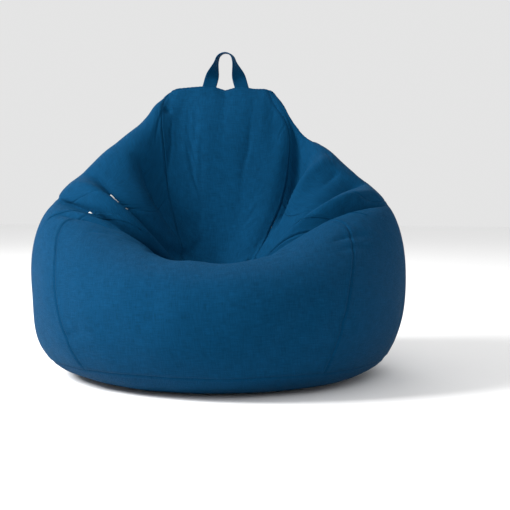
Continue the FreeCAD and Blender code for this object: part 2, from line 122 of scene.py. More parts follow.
# The rear wall's middle is an arc, tangent to the vertical at the belly.
ARC_RUN = BAG_HALF_DEPTH - TOP_SEAM_BACK - TOP_SEAM_THICKNESS / 2
ARC_RISE = BAG_HEIGHT - BELLY_HEIGHT
ARC_RADIUS = (ARC_RUN**2 + ARC_RISE**2) / (2 * ARC_RUN)
ARC_Y = BAG_HALF_DEPTH - ARC_RADIUS
ARC_TOP = math.asin(ARC_RISE / ARC_RADIUS)
ARC_LOW = -math.radians(6)

# ---- folds: (column in degrees, ring, depth in mm) along each, then half widths in mm and sharpness ----
# A fold is a valley where its depth is positive and a ridge where it is negative. The first half width is on the
# side to the left of its run, the second on the right. Sharpness 1 is a crease and 2 a soft round valley.
# folds: points along the run (column, ring, depth in mm), half widths in mm on its two sides, sharpness
FOLDS = [
    # the filling's own lean to the left, and its fuller left shoulder
    ([(-120, 4.6, -3), (-100, 4.4, -9), (-84, 4.2, -9), (-66, 4.0, -3)], 150, 150, 2.0),
    ([(-110, 1.6, -3), (-90, 1.6, -9), (-70, 1.6, -9), (-50, 1.6, -3)], 70, 90, 2.0),
    ([(-130, 8.0, -6), (-112, 8.3, -16), (-98, 9.0, -17), (-92, 10.4, -18), (-86, 12.0, -14),
        (-80, 13.2, -6)], 90, 90, 2.0),
    ([(128, 9.0, -2), (112, 9.2, -7), (100, 9.4, -6), (92, 10.4, -2)], 70, 70, 2.0),
    # left side, seen from the front
    ([(-104, 7.2, 0), (-94, 7.25, 3), (-86, 7.35, 12), (-78, 7.45, 26), (-70, 7.65, 36), (-63, 8.25, 36),
        (-56, 8.8, 32), (-50, 9.2, 22), (-45, 9.5, 8)], 10, 24, 1.1),
    ([(-99, 6.1, 3), (-89, 5.95, 14), (-78, 6.15, 30), (-68, 6.45, 36), (-61, 6.95, 34), (-57, 7.7, 32),
        (-52, 8.6, 20), (-47, 9.2, 4)], 13, 30, 1.2),
    ([(-92, 6.6, -2), (-86, 6.7, -8), (-78, 6.85, -16), (-69, 7.05, -22), (-62, 7.6, -20),
        (-56, 8.5, -10)], 24, 18, 1.9),
    ([(-73, 5.4, 0), (-66, 5.62, 10), (-60, 5.85, 14), (-55, 6.2, 12), (-50, 6.6, 0)], 11, 9, 1.1),
    ([(-70, 5.8, 0), (-64, 6.0, -6), (-58, 6.3, -6), (-54, 6.8, 0)], 10, 10, 1.8),
    ([(-64, 6.5, 0), (-58, 6.9, 8), (-55, 7.4, 8), (-51, 8.1, 0)], 9, 9, 1.2),
    ([(-84, 9.5, 0), (-79, 9.3, 8), (-74, 9.3, 18), (-68, 9.3, 22), (-62, 9.35, 18), (-55, 9.5, 10),
        (-46, 9.5, 0)], 34, 11, 1.2),
    ([(-92, 9.0, 0), (-82, 8.7, -5), (-74, 8.6, -9), (-66, 8.9, -9), (-58, 9.2, 0)], 26, 26, 1.9),
    # right side
    ([(58, 13.3, 0), (65, 12.5, 4), (70, 11.7, 15), (71, 10.9, 36), (67, 10.2, 54), (59, 9.6, 48),
        (46, 9.35, 12)], 58, 17, 1.5),
    ([(104, 9.3, 0), (97, 8.8, -4), (89, 8.6, -16), (81, 8.7, -26), (73, 8.9, -30), (65, 9.15, -26),
        (54, 9.3, -10)], 24, 30, 1.9),
    ([(100, 6.8, 0), (92, 6.85, 12), (83, 6.95, 30), (73, 7.2, 38), (63, 7.55, 38), (55, 8.15, 30),
        (47, 8.9, 8)], 12, 34, 1.2),
    ([(92, 6.3, 0), (82, 6.4, -8), (73, 6.6, -16), (64, 6.85, -18), (57, 7.3, -16), (50, 8.2, -4)], 15, 15, 1.8),
    ([(94, 5.75, 2), (83, 5.8, 14), (73, 6.0, 26), (66, 6.2, 32), (60, 6.4, 34), (54, 6.65, 34), (48, 7.2, 28),
        (43, 8.1, 8)], 10, 20, 1.15),
    ([(92, 7.75, 0), (86, 7.75, 9), (79, 7.85, 3), (74, 8.0, 0)], 9, 12, 1.25),
    ([(88, 6.15, 0), (82, 6.2, 5), (76, 6.35, 0)], 9, 9, 1.25),
    ([(41, 5.15, 0), (47, 5.2, 5), (54, 5.1, 5), (60, 5.0, 0)], 8, 7, 1.2),
    ([(40, 4.7, 0), (46, 4.8, 3), (53, 4.7, 3), (57, 4.65, 0)], 9, 8, 1.4),
    # backrest strip
    ([(-30, 13.6, 1), (-26, 12.9, 4), (-24, 12.1, 4), (-24, 11.2, 2), (-22, 10.4, 0)], 24, 30, 2.0),
    ([(-8, 13.6, 0), (-6, 12.8, -3), (-4, 11.6, -4), (-4, 10.6, 0)], 34, 34, 2.0),
    ([(22, 13.6, 1), (20, 12.9, 3), (18, 12.0, 4), (16, 11.0, 2), (12, 10.2, 0)], 26, 22, 2.0),
    ([(40, 13.7, 0), (42, 13.0, 5), (43, 12.2, 5), (43, 11.4, 2), (40, 10.6, 0)], 16, 18, 1.9),
    ([(-60, 12.7, 0), (-54, 12.85, 5), (-46, 13.05, 6), (-40, 13.2, 0)], 9, 9, 1.4),
    ([(30, 9.0, 0), (18, 8.9, 6), (0, 8.9, 9), (-16, 8.9, 7), (-30, 9.0, 0)], 26, 26, 1.9),
    # front and base
    ([(-14, 1.6, 0), (-10, 2.4, -3), (-6, 3.4, -3), (-2, 4.2, 0)], 40, 40, 2.0),
    ([(20, 1.5, 0), (24, 2.2, 4), (30, 3.0, 5), (36, 3.8, 0)], 30, 30, 2.0),
    ([(-49, 2.0, 0), (-42, 2.3, 4), (-34, 2.4, 0)], 14, 14, 1.7),
    ([(49, 2.4, 0), (42, 2.7, 4), (33, 2.8, 0)], 14, 14, 1.7),
    # rear and sides
    ([(-172, 13.7, 3), (-168, 12.6, 9), (-162, 11.2, 8), (-158, 9.6, 0)], 16, 20, 1.7),
    ([(166, 13.7, 3), (162, 12.4, 8), (158, 10.8, 9), (152, 9.4, 0)], 18, 18, 1.7),
    ([(-148, 13.8, 3), (-142, 12.9, 10), (-136, 11.6, 11), (-134, 10.0, 5), (-136, 8.4, 0)], 16, 18, 1.5),
    ([(146, 13.8, 3), (140, 12.7, 10), (134, 11.4, 10), (133, 9.8, 5), (138, 8.2, 0)], 18, 16, 1.5),
    ([(-100, 13.6, 2), (-98, 12.4, 8), (-104, 11.0, 9), (-112, 9.6, 4), (-118, 8.8, 0)], 20, 20, 1.8),
    ([(104, 13.6, 2), (100, 12.2, 9), (108, 10.8, 8), (114, 9.4, 3), (120, 8.6, 0)], 20, 20, 1.8),
    ([(-128, 7.2, 4), (-118, 6.8, 7), (-106, 6.5, 6), (-98, 6.2, 0)], 14, 18, 1.5),
    ([(128, 7.4, 4), (117, 7.1, 8), (106, 6.9, 6), (100, 6.8, 0)], 14, 18, 1.5),
    ([(-132, 2.0, 3), (-124, 2.8, 7), (-114, 3.5, 5), (-104, 3.9, 0)], 16, 18, 1.7),
    ([(132, 2.1, 3), (123, 2.7, 7), (112, 3.2, 5), (102, 3.4, 0)], 16, 18, 1.7),
    ([(-150, 1.5, 2), (-152, 2.4, 6), (-156, 3.4, 4), (-160, 4.3, 0)], 22, 22, 1.9),
    ([(152, 1.5, 2), (156, 2.6, 6), (158, 3.8, 4), (160, 4.8, 0)], 22, 22, 1.9),
    ([(-88, 1.4, 2), (-84, 2.3, 5), (-82, 3.2, 0)], 20, 20, 1.9),
    ([(84, 1.4, 2), (80, 2.4, 5), (78, 3.4, 0)], 20, 20, 1.9),
]
SHARP_FOLD = 1.3
# the long front seams, left and right of the front: (ring, column away from the front)
FRONT_SEAMS = {
    -1: [(0, 45), (1.15, 43), (2, 45), (3, 49), (4.1, 53), (5, 59), (5.5, 61), (6.3, 60), (7.3, 56), (8, 52),
        (9, 47), (9.7, 52), (10.3, 56), (11.2, 56), (11.8, 57), (12.6, 60), (13.3, 66), (14, 70)],
    1: [(0, 40), (1.15, 40), (2, 41), (3, 43), (3.8, 45), (5, 50), (5.7, 54), (6.5, 56), (7.3, 54), (8, 51),
        (9, 47), (9.5, 53), (10, 59), (10.7, 63), (11.5, 64), (12.4, 59), (13.2, 53), (14, 48)],
}
# the wing seam: (column away from the front, ring)
WING_SEAM = [(50, 10.2), (56, 10.1), (60, 9.9), (64, 9.4), (67, 8.7), (69, 8.0), (71, 7.3), (74, 6.65), (79, 6.15),
    (86, 5.95), (96, 5.95), (108, 6.1), (120, 6.35), (130, 6.62)]
# the top edge: (x, how far it sags), mm
TOP_EDGE = [(-130, 15), (-112, 9), (-75, 4), (-50, 0), (-25, 1), (0, 9), (25, 2), (50, 1), (74, 5), (104, 5),
    (130, 12)]

# the top edge's lean: (x, sideways, up), mm
TOP_LEAN = [(-140, -15, 6), (-110, -14, 8), (-75, -8, 7), (-40, -2, 4), (0, 0, 3), (60, 0, 3), (130, -3, 2)]


# ---- the bag's surface ----
def ring_values(ring):
    """One ring in metres: front (y, z), side (x, y, z), rear (y, z), crest, seam azimuth."""
    if ring == len(RINGS):
        half = TOP_SEAM_THICKNESS / 2
        side = (TOP_RING_HALF_WIDTH * BAG_HALF_WIDTH, TOP_SEAM_BACK, BAG_HEIGHT)
        return (TOP_SEAM_BACK - half, BAG_HEIGHT), side, (TOP_SEAM_BACK + half, BAG_HEIGHT), 1.0, TOP_RING_SEAM_AZIMUTH
    (fy, fz), (sx, sy, sz), rear, crest, azimuth = RINGS[ring]
    if rear is None:
        first = 3
        step = (ARC_TOP - ARC_LOW) / (len(RINGS) - first)
        hull = ARC_RADIUS * 3 / (2 + math.cos(step))
        angle = ARC_LOW + step * (ring - first)
        rear = (ARC_Y + hull * math.cos(angle), BELLY_HEIGHT + hull * math.sin(angle))
    else:
        rear = (rear[0] * BAG_HALF_DEPTH, rear[1] * BAG_HEIGHT)
    front = (fy * BAG_HALF_DEPTH, fz * BAG_HEIGHT)
    side = (sx * BAG_HALF_WIDTH, sy * BAG_HALF_DEPTH, sz * BAG_HEIGHT)
    return front, side, rear, crest, azimuth


@functools.cache
def control_net():
    """Control points, ring by ring.

    Round a ring the plan is an ellipse, and the front's height over the arms follows a power of the cosine.
    """
    rows = []
    for ring in range(len(RINGS) + 1):
        front, side, rear, crest, azimuth = ring_values(ring)
        turn = (np.arange(COLUMNS) * 360.0 / COLUMNS + 180) % 360 - 180
        away = abs(turn)
        share = np.where(
            away < FRONT_SEAM,
            np.sin(away / FRONT_SEAM * np.pi / 2),
            np.cos((away - FRONT_SEAM) / (180 - FRONT_SEAM) * np.pi / 2) ** 2,
        )
        t = np.radians(np.copysign(away + (azimuth - FRONT_SEAM) * share, turn))
        ahead, behind = np.clip(np.cos(t), 0, 1), np.clip(-np.cos(t), 0, 1)
        x = side[0] * np.sin(t)
        y = side[1] + (front[0] - side[1]) * ahead ** (1 + (crest - 1) * 0.25) + (rear[0] - side[1]) * behind
        z = side[2] + (front[1] - side[2]) * ahead**crest + (rear[1] - side[2]) * behind
        rows.append(np.stack([x, y, z], -1))
    return np.array(rows)


def closed_weights(v):
    """Uniform cubic B-spline weights round the bag, for columns v counted in net columns."""
    v = np.asarray(v, float) % COLUMNS
    k = np.floor(v).astype(int)
    f = v - k
    w = np.stack([(1 - f) ** 3, 3 * f**3 - 6 * f**2 + 4, -3 * f**3 + 3 * f**2 + 3 * f + 1, f**3], -1) / 6
    out = np.zeros((len(v), COLUMNS))
    for q in range(4):
        out[np.arange(len(v)), (k - 1 + q) % COLUMNS] += w[:, q]
    return out


def clamped_weights(u):
    """Cubic B-spline weights up the bag, clamped at both ends, by the Cox and de Boor rule."""
    u = np.asarray(u, float)
    rings = len(RINGS) + 1
    spans = rings - 3
    knots = np.concatenate([np.zeros(3), np.arange(spans + 1), np.full(3, spans)])
    at = np.clip(np.floor(u).astype(int), 0, spans - 1) + 3
    n, left, right = (np.zeros((len(u), 4)) for _ in range(3))
    n[:, 0] = 1
    for j in range(1, 4):
        left[:, j], right[:, j] = u - knots[at + 1 - j], knots[at + j] - u
        carry = np.zeros(len(u))
        for r in range(j):
            t = n[:, r] / (right[:, r + 1] + left[:, j - r])
            n[:, r] = carry + right[:, r + 1] * t
            carry = left[:, j - r] * t
        n[:, j] = carry
    out = np.zeros((len(u), rings))
    for q in range(4):
        out[np.arange(len(u)), at - 3 + q] += n[:, q]
    return out


def bare_surface(u, v):
    """The smooth bag at rings u and columns v in degrees, as rows of points: weights up, times net, times weights
    round.
    """
    return np.einsum("ij,jkc,lk->ilc", clamped_weights(u), control_net(), closed_weights(np.asarray(v) / 10.0))


def unit(a):
    """Vectors scaled to length one."""
    return a / (np.linalg.norm(a, axis=-1, keepdims=True) + 1e-12)


def grid_normals(p):
    """Outward normals of a grid whose rows run up and whose columns run round, closed round the bag: cross product
    of the two central differences.
    """
    across = np.roll(p, -1, 1) - np.roll(p, 1, 1)
    return unit(np.cross(across, np.gradient(p, axis=0)))


def smooth_line(points, count):
    """A Catmull-Rom curve through control points, at count places."""
    p = np.asarray(points, float)
    p = np.vstack([2 * p[0] - p[1], p, 2 * p[-1] - p[-2]])
    t = np.linspace(0, len(p) - 3 - 1e-9, count)
    k = t.astype(int)
    f = (t - k)[:, None]
    a, b, c, d = p[k], p[k + 1], p[k + 2], p[k + 3]
    return 0.5 * (2 * b + (c - a) * f + (2 * a - 5 * b + 4 * c - d) * f**2 + (3 * b - a - 3 * c + d) * f**3)


def points_at(u, v):
    """Single points of the bare surface, at paired rings and columns."""
    return np.einsum("ij,jkc,ik->ic", clamped_weights(u), control_net(), closed_weights(np.asarray(v) / 10.0))


def fold_relief(points, normals, u, v):
    """Depth that the folds press in, how close each point is to a valley's bottom, and how the folds lean over.

    Across a fold the depth is exp(-(distance / half width) ** sharpness), with its own half width on each side.
    A sharp fold's steep side leans over its bottom, and the bottom draws back under it.
    """
    lean = np.zeros(points.shape)
    depth = np.zeros(points.shape[:2])
    bottom = np.zeros(points.shape[:2])
    vv, uu = np.meshgrid(v, u)
    for line, left, right, sharp in FOLDS:
        run = smooth_line(line, 90)
        path = points_at(run[:, 1], run[:, 0])
        reach = 3.2 * max(left, right) / 1000
        near = ((points > path.min(0) - reach) & (points < path.max(0) + reach)).all(-1)
        rows, cols = np.nonzero(near)
        p = points[rows, cols]
        gap = np.linalg.norm(p[:, None] - path[None], axis=-1)
        k = gap.argmin(1)
        away = gap[np.arange(len(p)), k]
        ahead = unit(np.gradient(path, axis=0))[k]
        left_way = unit(np.cross(normals[rows, cols], ahead))
        side = np.einsum("ij,ij->i", left_way, p - path[k])
        half = np.where(side > 0, left, right) / 1000
        turn = (vv[rows, cols] - run[k, 0] + 180) % 360 - 180
        same_side = np.clip((60 - np.abs(turn)) / 22, 0, 1) * np.clip(4.5 - np.abs(uu[rows, cols] - run[k, 1]), 0, 1)
        here = np.exp(-((away / half) ** sharp)) * same_side**2 * (3 - 2 * same_side)
        d = run[k, 2] / 1000 * here
        depth[rows, cols] += d
        if sharp < SHARP_FOLD:
            narrow, sense = min(left, right) / 1000, 1 if right < left else -1
            over = 0.66 * np.exp(-(((side * -sense - 1.3 * narrow) / (1.1 * narrow)) ** 2))
            under = 0.36 * np.exp(-(((side * -sense) / (0.45 * narrow)) ** 2))
            lean[rows, cols] += left_way * (sense * d * (over - under) * (d > 0))[:, None]
        close = np.exp(-((away / 0.007) ** 2)) * np.clip(run[k, 2] / 12, 0, 1) * (sharp < 1.75)
        bottom[rows, cols] = np.maximum(bottom[rows, cols], close * (here > 0))
    return depth, bottom, lean


def top_edge_sag(points, u):
    """How far the cloth under the top seam hangs: the seam's own sag, fading out downwards."""
    x, sag = np.array(TOP_EDGE, float).T / 1000
    t = np.clip((u - 11.6) / (TOP_RING - 11.6), 0, 1)[:, None]
    return np.interp(points[..., 0], x, sag) * t**2 * (3 - 2 * t)


def top_lean(points, u):
    """How far the top's left corner leans out and up: nothing at the middle, all of it at the corner, fading
    downwards.
    """
    x, sideways, up = np.array(TOP_LEAN, float).T / 1000
    t = np.clip((u - 10.5) / (TOP_RING - 10.5), 0, 1)[:, None]
    share = t**2 * (3 - 2 * t)
    place = points[..., 0]
    return np.interp(place, x, sideways) * share, np.interp(place, x, up) * share


def small_waves(points):
    """Gentle unevenness of the filling under the cloth: a few long sine waves in space, multiplied in pairs."""
    x, y, z = np.moveaxis(points, -1, 0)
    a = np.sin(17 * x + 9 * z + 0.4) * np.sin(13 * y - 11 * z + 1.3)
    b = np.sin(31 * x - 22 * y + 2.0) * np.sin(27 * z + 15 * x + 0.7)
    return 0.0022 * a + 0.0012 * b


RING_ROWS = 241
COLUMN_STEPS = 480


def zip_calm(points):
    """Zero beside the zip and at the top and base seams, rising to one: where cloth may move."""
    x, y, z = np.moveaxis(points, -1, 0)
    beside = np.where(y > 0, np.clip((np.abs(x) - 0.018) / 0.05, 0, 1), 1)
    return beside * beside * (3 - 2 * beside)


SETTLE_FRAMES = 16
BROAD_STEPS, BROAD_SHARE = 40, 0.35  # averaging that finds the broad movement, and how much of it is kept
MOST_MOVED = 0.016  # limit of the settled cloth's movement


def settle(points, hold, slack):
    """Lets the cover settle as cloth under air pressure, held where hold is one and loose where slack is one.

    The movement is limited, and its broad part is damped, so that the folds round out and the outline stays.
    """
    rows, cols = points.shape[:2]
    index = np.arange(rows * cols).reshape(rows, cols)
    low, high = index[:-1], index[1:]
    quads = np.stack([low, np.roll(low, -1, 1), np.roll(high, -1, 1), high], -1).reshape(-1, 4)
    mesh = bpy.data.meshes.new("settling_cloth")
    mesh.from_pydata(points.reshape(-1, 3), [], quads.tolist() + [index[0, ::-1].tolist(), index[-1].tolist()])
    cloth = bpy.data.objects.new("settling_cloth", mesh)
    bpy.context.scene.collection.objects.link(cloth)
    for name, values in (("held", hold), ("loose", slack)):
        group = cloth.vertex_groups.new(name=name)
        steps = np.round(values.ravel() * 20).astype(int)
        for step in range(1, 21):
            group.add(np.nonzero(steps == step)[0].tolist(), step / 20, "REPLACE")
    modifier = cloth.modifiers.new("cloth", "CLOTH")
    s = modifier.settings
    s.quality = 5
    s.mass = 0.2
    s.tension_stiffness = s.compression_stiffness = 25
    s.shear_stiffness = 8
    s.bending_stiffness = 0.12
    s.tension_damping = s.compression_damping = s.shear_damping = 12
    s.air_damping = 4
    s.use_pressure = True
    s.uniform_pressure_force = 3.0
    s.effector_weights.gravity = 0
    s.vertex_group_mass = "held"
    s.pin_stiffness = 4
    s.vertex_group_shrink = "loose"
    s.shrink_min, s.shrink_max = 0.0, -0.05
    modifier.point_cache.frame_start, modifier.point_cache.frame_end = 1, SETTLE_FRAMES
    scene = bpy.context.scene
    for number in range(1, SETTLE_FRAMES + 1):
        scene.frame_set(number)
    settled = cloth.evaluated_get(bpy.context.evaluated_depsgraph_get()).to_mesh()
    out = np.empty(rows * cols * 3, np.float32)
    settled.vertices.foreach_get("co", out)
    scene.frame_set(1)
    bpy.data.objects.remove(cloth)
    bpy.data.meshes.remove(mesh)
    return out.reshape(rows, cols, 3).astype(float)


def blur(a, steps):
    """A grid averaged with its neighbours, over and over; closed round the bag."""
    for _ in range(steps):
        a = (np.roll(a, 1, 1) + 2 * a + np.roll(a, -1, 1)) / 4
        up = np.concatenate([a[1:], a[-1:]])
        down = np.concatenate([a[:1], a[:-1]])
        a = (up + 2 * a + down) / 4
    return a


def finer(a):
    """A grid of every second row and column, filled in between by cubic weights (-1, 9, 9, -1) / 16."""
    for axis, closed in ((0, False), (1, True)):
        before, after = ([-1], [0, 1]) if closed else ([0], [-1])
        ends = [np.take(a, before, axis), a, np.take(a, after, axis)]
        wide = np.concatenate(ends, axis)
        at = lambda k, n: np.take(wide, np.arange(k, k + n), axis)
        count = a.shape[axis] if closed else a.shape[axis] - 1
        between = (9 * (at(1, count) + at(2, count)) - at(0, count) - at(3, count)) / 16
        out = np.empty([2 * n - (0 if closed else 1) if k == axis else n for k, n in enumerate(a.shape)])
        whole, half = [slice(None)] * 3, [slice(None)] * 3
        whole[axis], half[axis] = slice(0, None, 2), slice(1, None, 2)
        out[tuple(whole)], out[tuple(half)] = a, between
        a = out
    return a


@functools.cache
def cover_surface():
    """The cover's outer face as a grid of points, rings up and columns round, with its folds and settled cloth."""
    u = np.linspace(0, TOP_RING, RING_ROWS)
    v = np.arange(COLUMN_STEPS) * 360.0 / COLUMN_STEPS
    v = (v + 180) % 360 - 180
    bare = bare_surface(u, v)
    normals = grid_normals(bare)
    calm = zip_calm(bare) * np.clip(u / 0.6, 0, 1)[:, None] ** 2
    depth, bottom, lean = fold_relief(bare, normals, u, v)
    ends = (np.clip((TOP_RING - u) / 0.5, 0, 1) ** 0.7)[:, None]
    start = bare - normals * ((depth - small_waves(bare)) * calm * ends)[..., None]
    start += blur(lean, 1) * (calm * ends)[..., None]
    start[..., 2] -= top_edge_sag(bare, u)
    aside, raised = top_lean(bare, u)
    start[..., 0] += aside
    start[..., 2] += raised
    hold = np.maximum(bottom * 0.9, 1 - calm)
    hold[:2] = hold[-2:] = 1
    columns = [front_seam(-1)(u), front_seam(1)(u), np.full_like(u, -REAR_SEAM), np.full_like(u, REAR_SEAM)]
    seams = sum(np.exp(-(((v[None] - column[:, None]) / 1.4) ** 2)) for column in columns)
    hold = np.clip(np.maximum(hold, 0.5 * seams), 0, 1)
    slack = np.clip(0.35 + blur(np.clip(depth / 0.012, 0, 1), 6) * 1.2, 0, 1) * calm
    rough = (slice(None, None, 2), slice(None, None, 2))
    moved = finer(settle(start[rough], hold[rough], slack[rough]) - start[rough])
    broad = blur(moved, BROAD_STEPS)
    moved = (moved - broad) + BROAD_SHARE * broad
    size = np.linalg.norm(moved, axis=-1, keepdims=True)
    moved *= MOST_MOVED * np.tanh(size / MOST_MOVED) / (size + 1e-9)
    return start + moved * calm[..., None] * ends[..., None]


@functools.cache
def cover_normals():
    """Outward normals of the settled cover."""
    return grid_normals(cover_surface())


def read_grid(grid, u, v):
    """A grid read between its points by Catmull-Rom weights both ways.

    u are rings and v degrees, in arrays of one shape.
    """
    s = np.clip(np.asarray(u) / TOP_RING * (RING_ROWS - 1), 0, RING_ROWS - 1.000001)
    t = (np.asarray(v) % 360) * COLUMN_STEPS / 360
    i, j = np.floor(s).astype(int), np.floor(t).astype(int)

    def weights(f):
        return (
            (-(f**3) + 2 * f**2 - f) / 2,
            (3 * f**3 - 5 * f**2 + 2) / 2,
            (-3 * f**3 + 4 * f**2 + f) / 2,
            (f**3 - f**2) / 2,
        )

    wu, wv = weights(s - i), weights(t - j)
    out = 0
    for a in range(4):
        for b in range(4):
            row = np.clip(i + a - 1, 0, RING_ROWS - 1)
            out = out + (wu[a] * wv[b])[..., None] * grid[row, (j + b - 1) % COLUMN_STEPS]
    return out


# ---- panels ----
EDGE_STEPS = np.array([0, 0.0011, 0.0024, 0.004, 0.0062, 0.0092, 0.0135]) # metres from a sewn edge
SEAM_DEPTH = 0.0015
SEAM_WIDTH = 0.0024
FLAT_SEAM = 0.4  # the wing seam lies flatter than the others
TURNED_IN = [(0.0004, 0.0022), (0.0010, 0.0070)]  # away from the seam, down: the seam allowance inside


def edge_spacing(length, step):
    """Places across a panel of this length, close together at both edges and about step apart between."""
    inner = max(6, int(round((length - 2 * EDGE_STEPS[-1]) / step)))
    middle = np.linspace(EDGE_STEPS[-1], length - EDGE_STEPS[-1], inner + 1)
    return np.concatenate([EDGE_STEPS[:-1], middle, (length - EDGE_STEPS[:-1])[::-1]])


def along(points, axis):
    """Length along a grid from its first row or column."""
    step = np.linalg.norm(np.diff(points, axis=axis), axis=-1)
    zero = np.zeros_like(np.take(step, [0], axis))
    return np.concatenate([zero, np.cumsum(step, axis)], axis)


def corner(ring_curve, column_curve, first_ring):
    """Where a ring curve meets a column curve: the ring nearest to first_ring where u =
    ring_curve(column_curve(u)).
    """
    u = np.linspace(0, TOP_RING, 2801)
    miss = np.abs(u - ring_curve(column_curve(u))) + 0.002 * np.abs(u - first_ring)
    u = float(u[miss.argmin()])
    return np.array([u, float(column_curve(u))])


def panel_grid(low, high, left, right, step=0.0046, sewn=(1, 1, 1, 1), surface=None, depth=SEAM_DEPTH):
    """A panel between two ring curves (functions of the column) and two column curves (functions of the ring).

    The four borders are blended as a Coons patch in rings and columns: the sum of the two ruled surfaces less the
    bilinear one through the corners. Each point then starts on the settled surface. Near a sewn edge it sinks by
    depth * exp(-(distance / width) ** 1.6). Returns the grid, its normals and its flat coordinates in metres.
    """
    grid = cover_surface() if surface is None else surface
    low_ring, high_ring = float(np.min(low(0.0))), float(np.min(high(np.float64(90.0))))
    ll, lr = corner(low, left, low_ring), corner(low, right, low_ring)
    hl, hr = corner(high, left, high_ring), corner(high, right, high_ring)

    def patch(s, t):
        span = lambda a, b, k, x: a[k] + (b[k] - a[k]) * x
        vb, vt, ul, ur = span(ll, lr, 1, t), span(hl, hr, 1, t), span(ll, hl, 0, s), span(lr, hr, 0, s)
        bottom, top = np.stack([low(vb), vb], -1), np.stack([high(vt), vt], -1)
        side_a, side_b = np.stack([ul, left(ul)], -1), np.stack([ur, right(ur)], -1)
        s, t = s[..., None], t[..., None]
        flat = (1 - s) * ((1 - t) * ll + t * lr) + s * ((1 - t) * hl + t * hr)
        both = (1 - s) * bottom + s * top + (1 - t) * side_a + t * side_b - flat
        return both[..., 0], both[..., 1]

    probe, half = np.linspace(0, 1, 61), np.full(61, 0.5)
    across = along(read_grid(grid, *patch(half, probe))[None], 1).max()
    up = along(read_grid(grid, *patch(probe, half))[None], 1).max()
    s, t = edge_spacing(up, step) / up, edge_spacing(across, step) / across
    ss, tt = np.meshgrid(s, t, indexing="ij")
    u, v = patch(ss, tt)
    p = read_grid(grid, u, v)
    n = unit(read_grid(grid_normals(grid), u, v))
    su, sv = along(p, 0), along(p, 1)
    edges = (su, su[-1:] - su, sv, sv[:, -1:] - sv)
    sink = sum(is_sewn * np.exp(-((e / SEAM_WIDTH) ** 1.6)) for e, is_sewn in zip(edges, sewn))
    puff = sum(is_sewn * np.exp(-(((e - 0.009) / 0.006) ** 2)) for e, is_sewn in zip(edges, sewn))
    p = p - n * (depth * np.clip(sink, 0, 1) - 0.0007 * np.clip(puff, 0, 1))[..., None]
    flat = np.stack([sv - sv[:, -1:] / 2, su], -1)
    return p, n, flat


def turn_in(p, n, flat, sides):
    """Adds the turned-in allowance along the chosen sides: low, high, left, right."""
    for side, wanted in enumerate(sides):
        if not wanted:
            continue
        axis, last = side // 2, side % 2
        take = lambda a, k: np.take(a, [k], axis)
        edge, beside = (-1, -3) if last else (0, 2)
        inwards = unit(take(p, beside) - take(p, edge))
        rows = [take(p, edge) + inwards * away - take(n, edge) * down for away, down in TURNED_IN]
        flats = [take(flat, edge)] * len(rows)
        norms = [take(n, edge)] * len(rows)
        if last:
            p = np.concatenate([p, *rows], axis)
            flat, n = np.concatenate([flat, *flats], axis), np.concatenate([n, *norms], axis)
        else:
            p = np.concatenate([*rows[::-1], p], axis)
            flat, n = np.concatenate([*flats, flat], axis), np.concatenate([*norms, n], axis)
    return p, n, flat


def new_piece(name, vertices, faces, flat=None):
    """A mesh object at the origin, smooth shaded, with the cloth's flat coordinates as its UV map."""
    mesh = bpy.data.meshes.new(name)
    faces = faces if isinstance(faces, list) else np.asarray(faces).tolist()
    mesh.from_pydata(np.asarray(vertices).reshape(-1, 3), [], faces)
    mesh.validate()
    mesh.polygons.foreach_set("use_smooth", np.ones(len(mesh.polygons), bool))
    if flat is not None:
        layer = mesh.uv_layers.new(name="cloth")
        loops = np.empty(len(mesh.loops), int)
        mesh.loops.foreach_get("vertex_index", loops)
        layer.data.foreach_set("uv", np.asarray(flat, np.float32).reshape(-1, 2)[loops].ravel())
    mesh.update()
    piece = bpy.data.objects.new(name, mesh)
    bpy.context.scene.collection.objects.link(piece)
    return piece


def grid_faces(rows, cols, closed=False, flip=False):
    """Quads of a grid, counter-clockwise seen from outside when rows go up and columns go round."""
    index = np.arange(rows * cols).reshape(rows, cols)
    if closed:
        index = np.concatenate([index, index[:, :1]], 1)
    quads = np.stack([index[:-1, :-1], index[:-1, 1:], index[1:, 1:], index[1:, :-1]], -1).reshape(-1, 4)
    return quads[:, ::-1] if flip else quads


def capped_faces(rows, cols, flip=False):
    """Quads of a grid closed round its columns, with a cap over the first row and one over the last."""
    first, last = list(range(cols)), list(range((rows - 1) * cols, rows * cols))
    caps = [first, last[::-1]] if flip else [first[::-1], last]
    return grid_faces(rows, cols, closed=True, flip=flip).tolist() + caps


def grid_piece(name, p, flat, closed=False, flip=False):
    """A piece from one grid."""
    return new_piece(name, p, grid_faces(*p.shape[:2], closed, flip), flat)


def thicken(piece, thickness):
    """Gives a sheet its thickness, inwards."""
    solid = piece.modifiers.new("thickness", "SOLIDIFY")
    solid.thickness = thickness
    solid.offset = -1
    solid.use_even_offset = False
    return piece


def finish_piece(piece, body, material, replaces=()):
    """Puts a piece on its body, gives it its finish and hides the CAD nodes that it stands for."""
    piece.data.materials.clear()
    piece.data.materials.append(material)
    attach(piece, body)
    if replaces:
        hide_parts(*replaces)
    return piece


def constant(value):
    """A border at one ring or column."""
    return lambda t: np.full(np.shape(t), float(value)) if np.ndim(t) else float(value)


def front_seam(sign):
    """A long front seam's column at a ring, left for -1 and right for +1."""
    ring, column = smooth_line(FRONT_SEAMS[sign], 240).T
    return lambda u: sign * np.interp(u, ring, column)


def wing_seam(v):
    """Ring of the wing seam at a column."""
    away = np.abs((np.asarray(v, float) + 180) % 360 - 180)
    at, ring = smooth_line(WING_SEAM, 200).T
    return np.interp(away, at, ring)


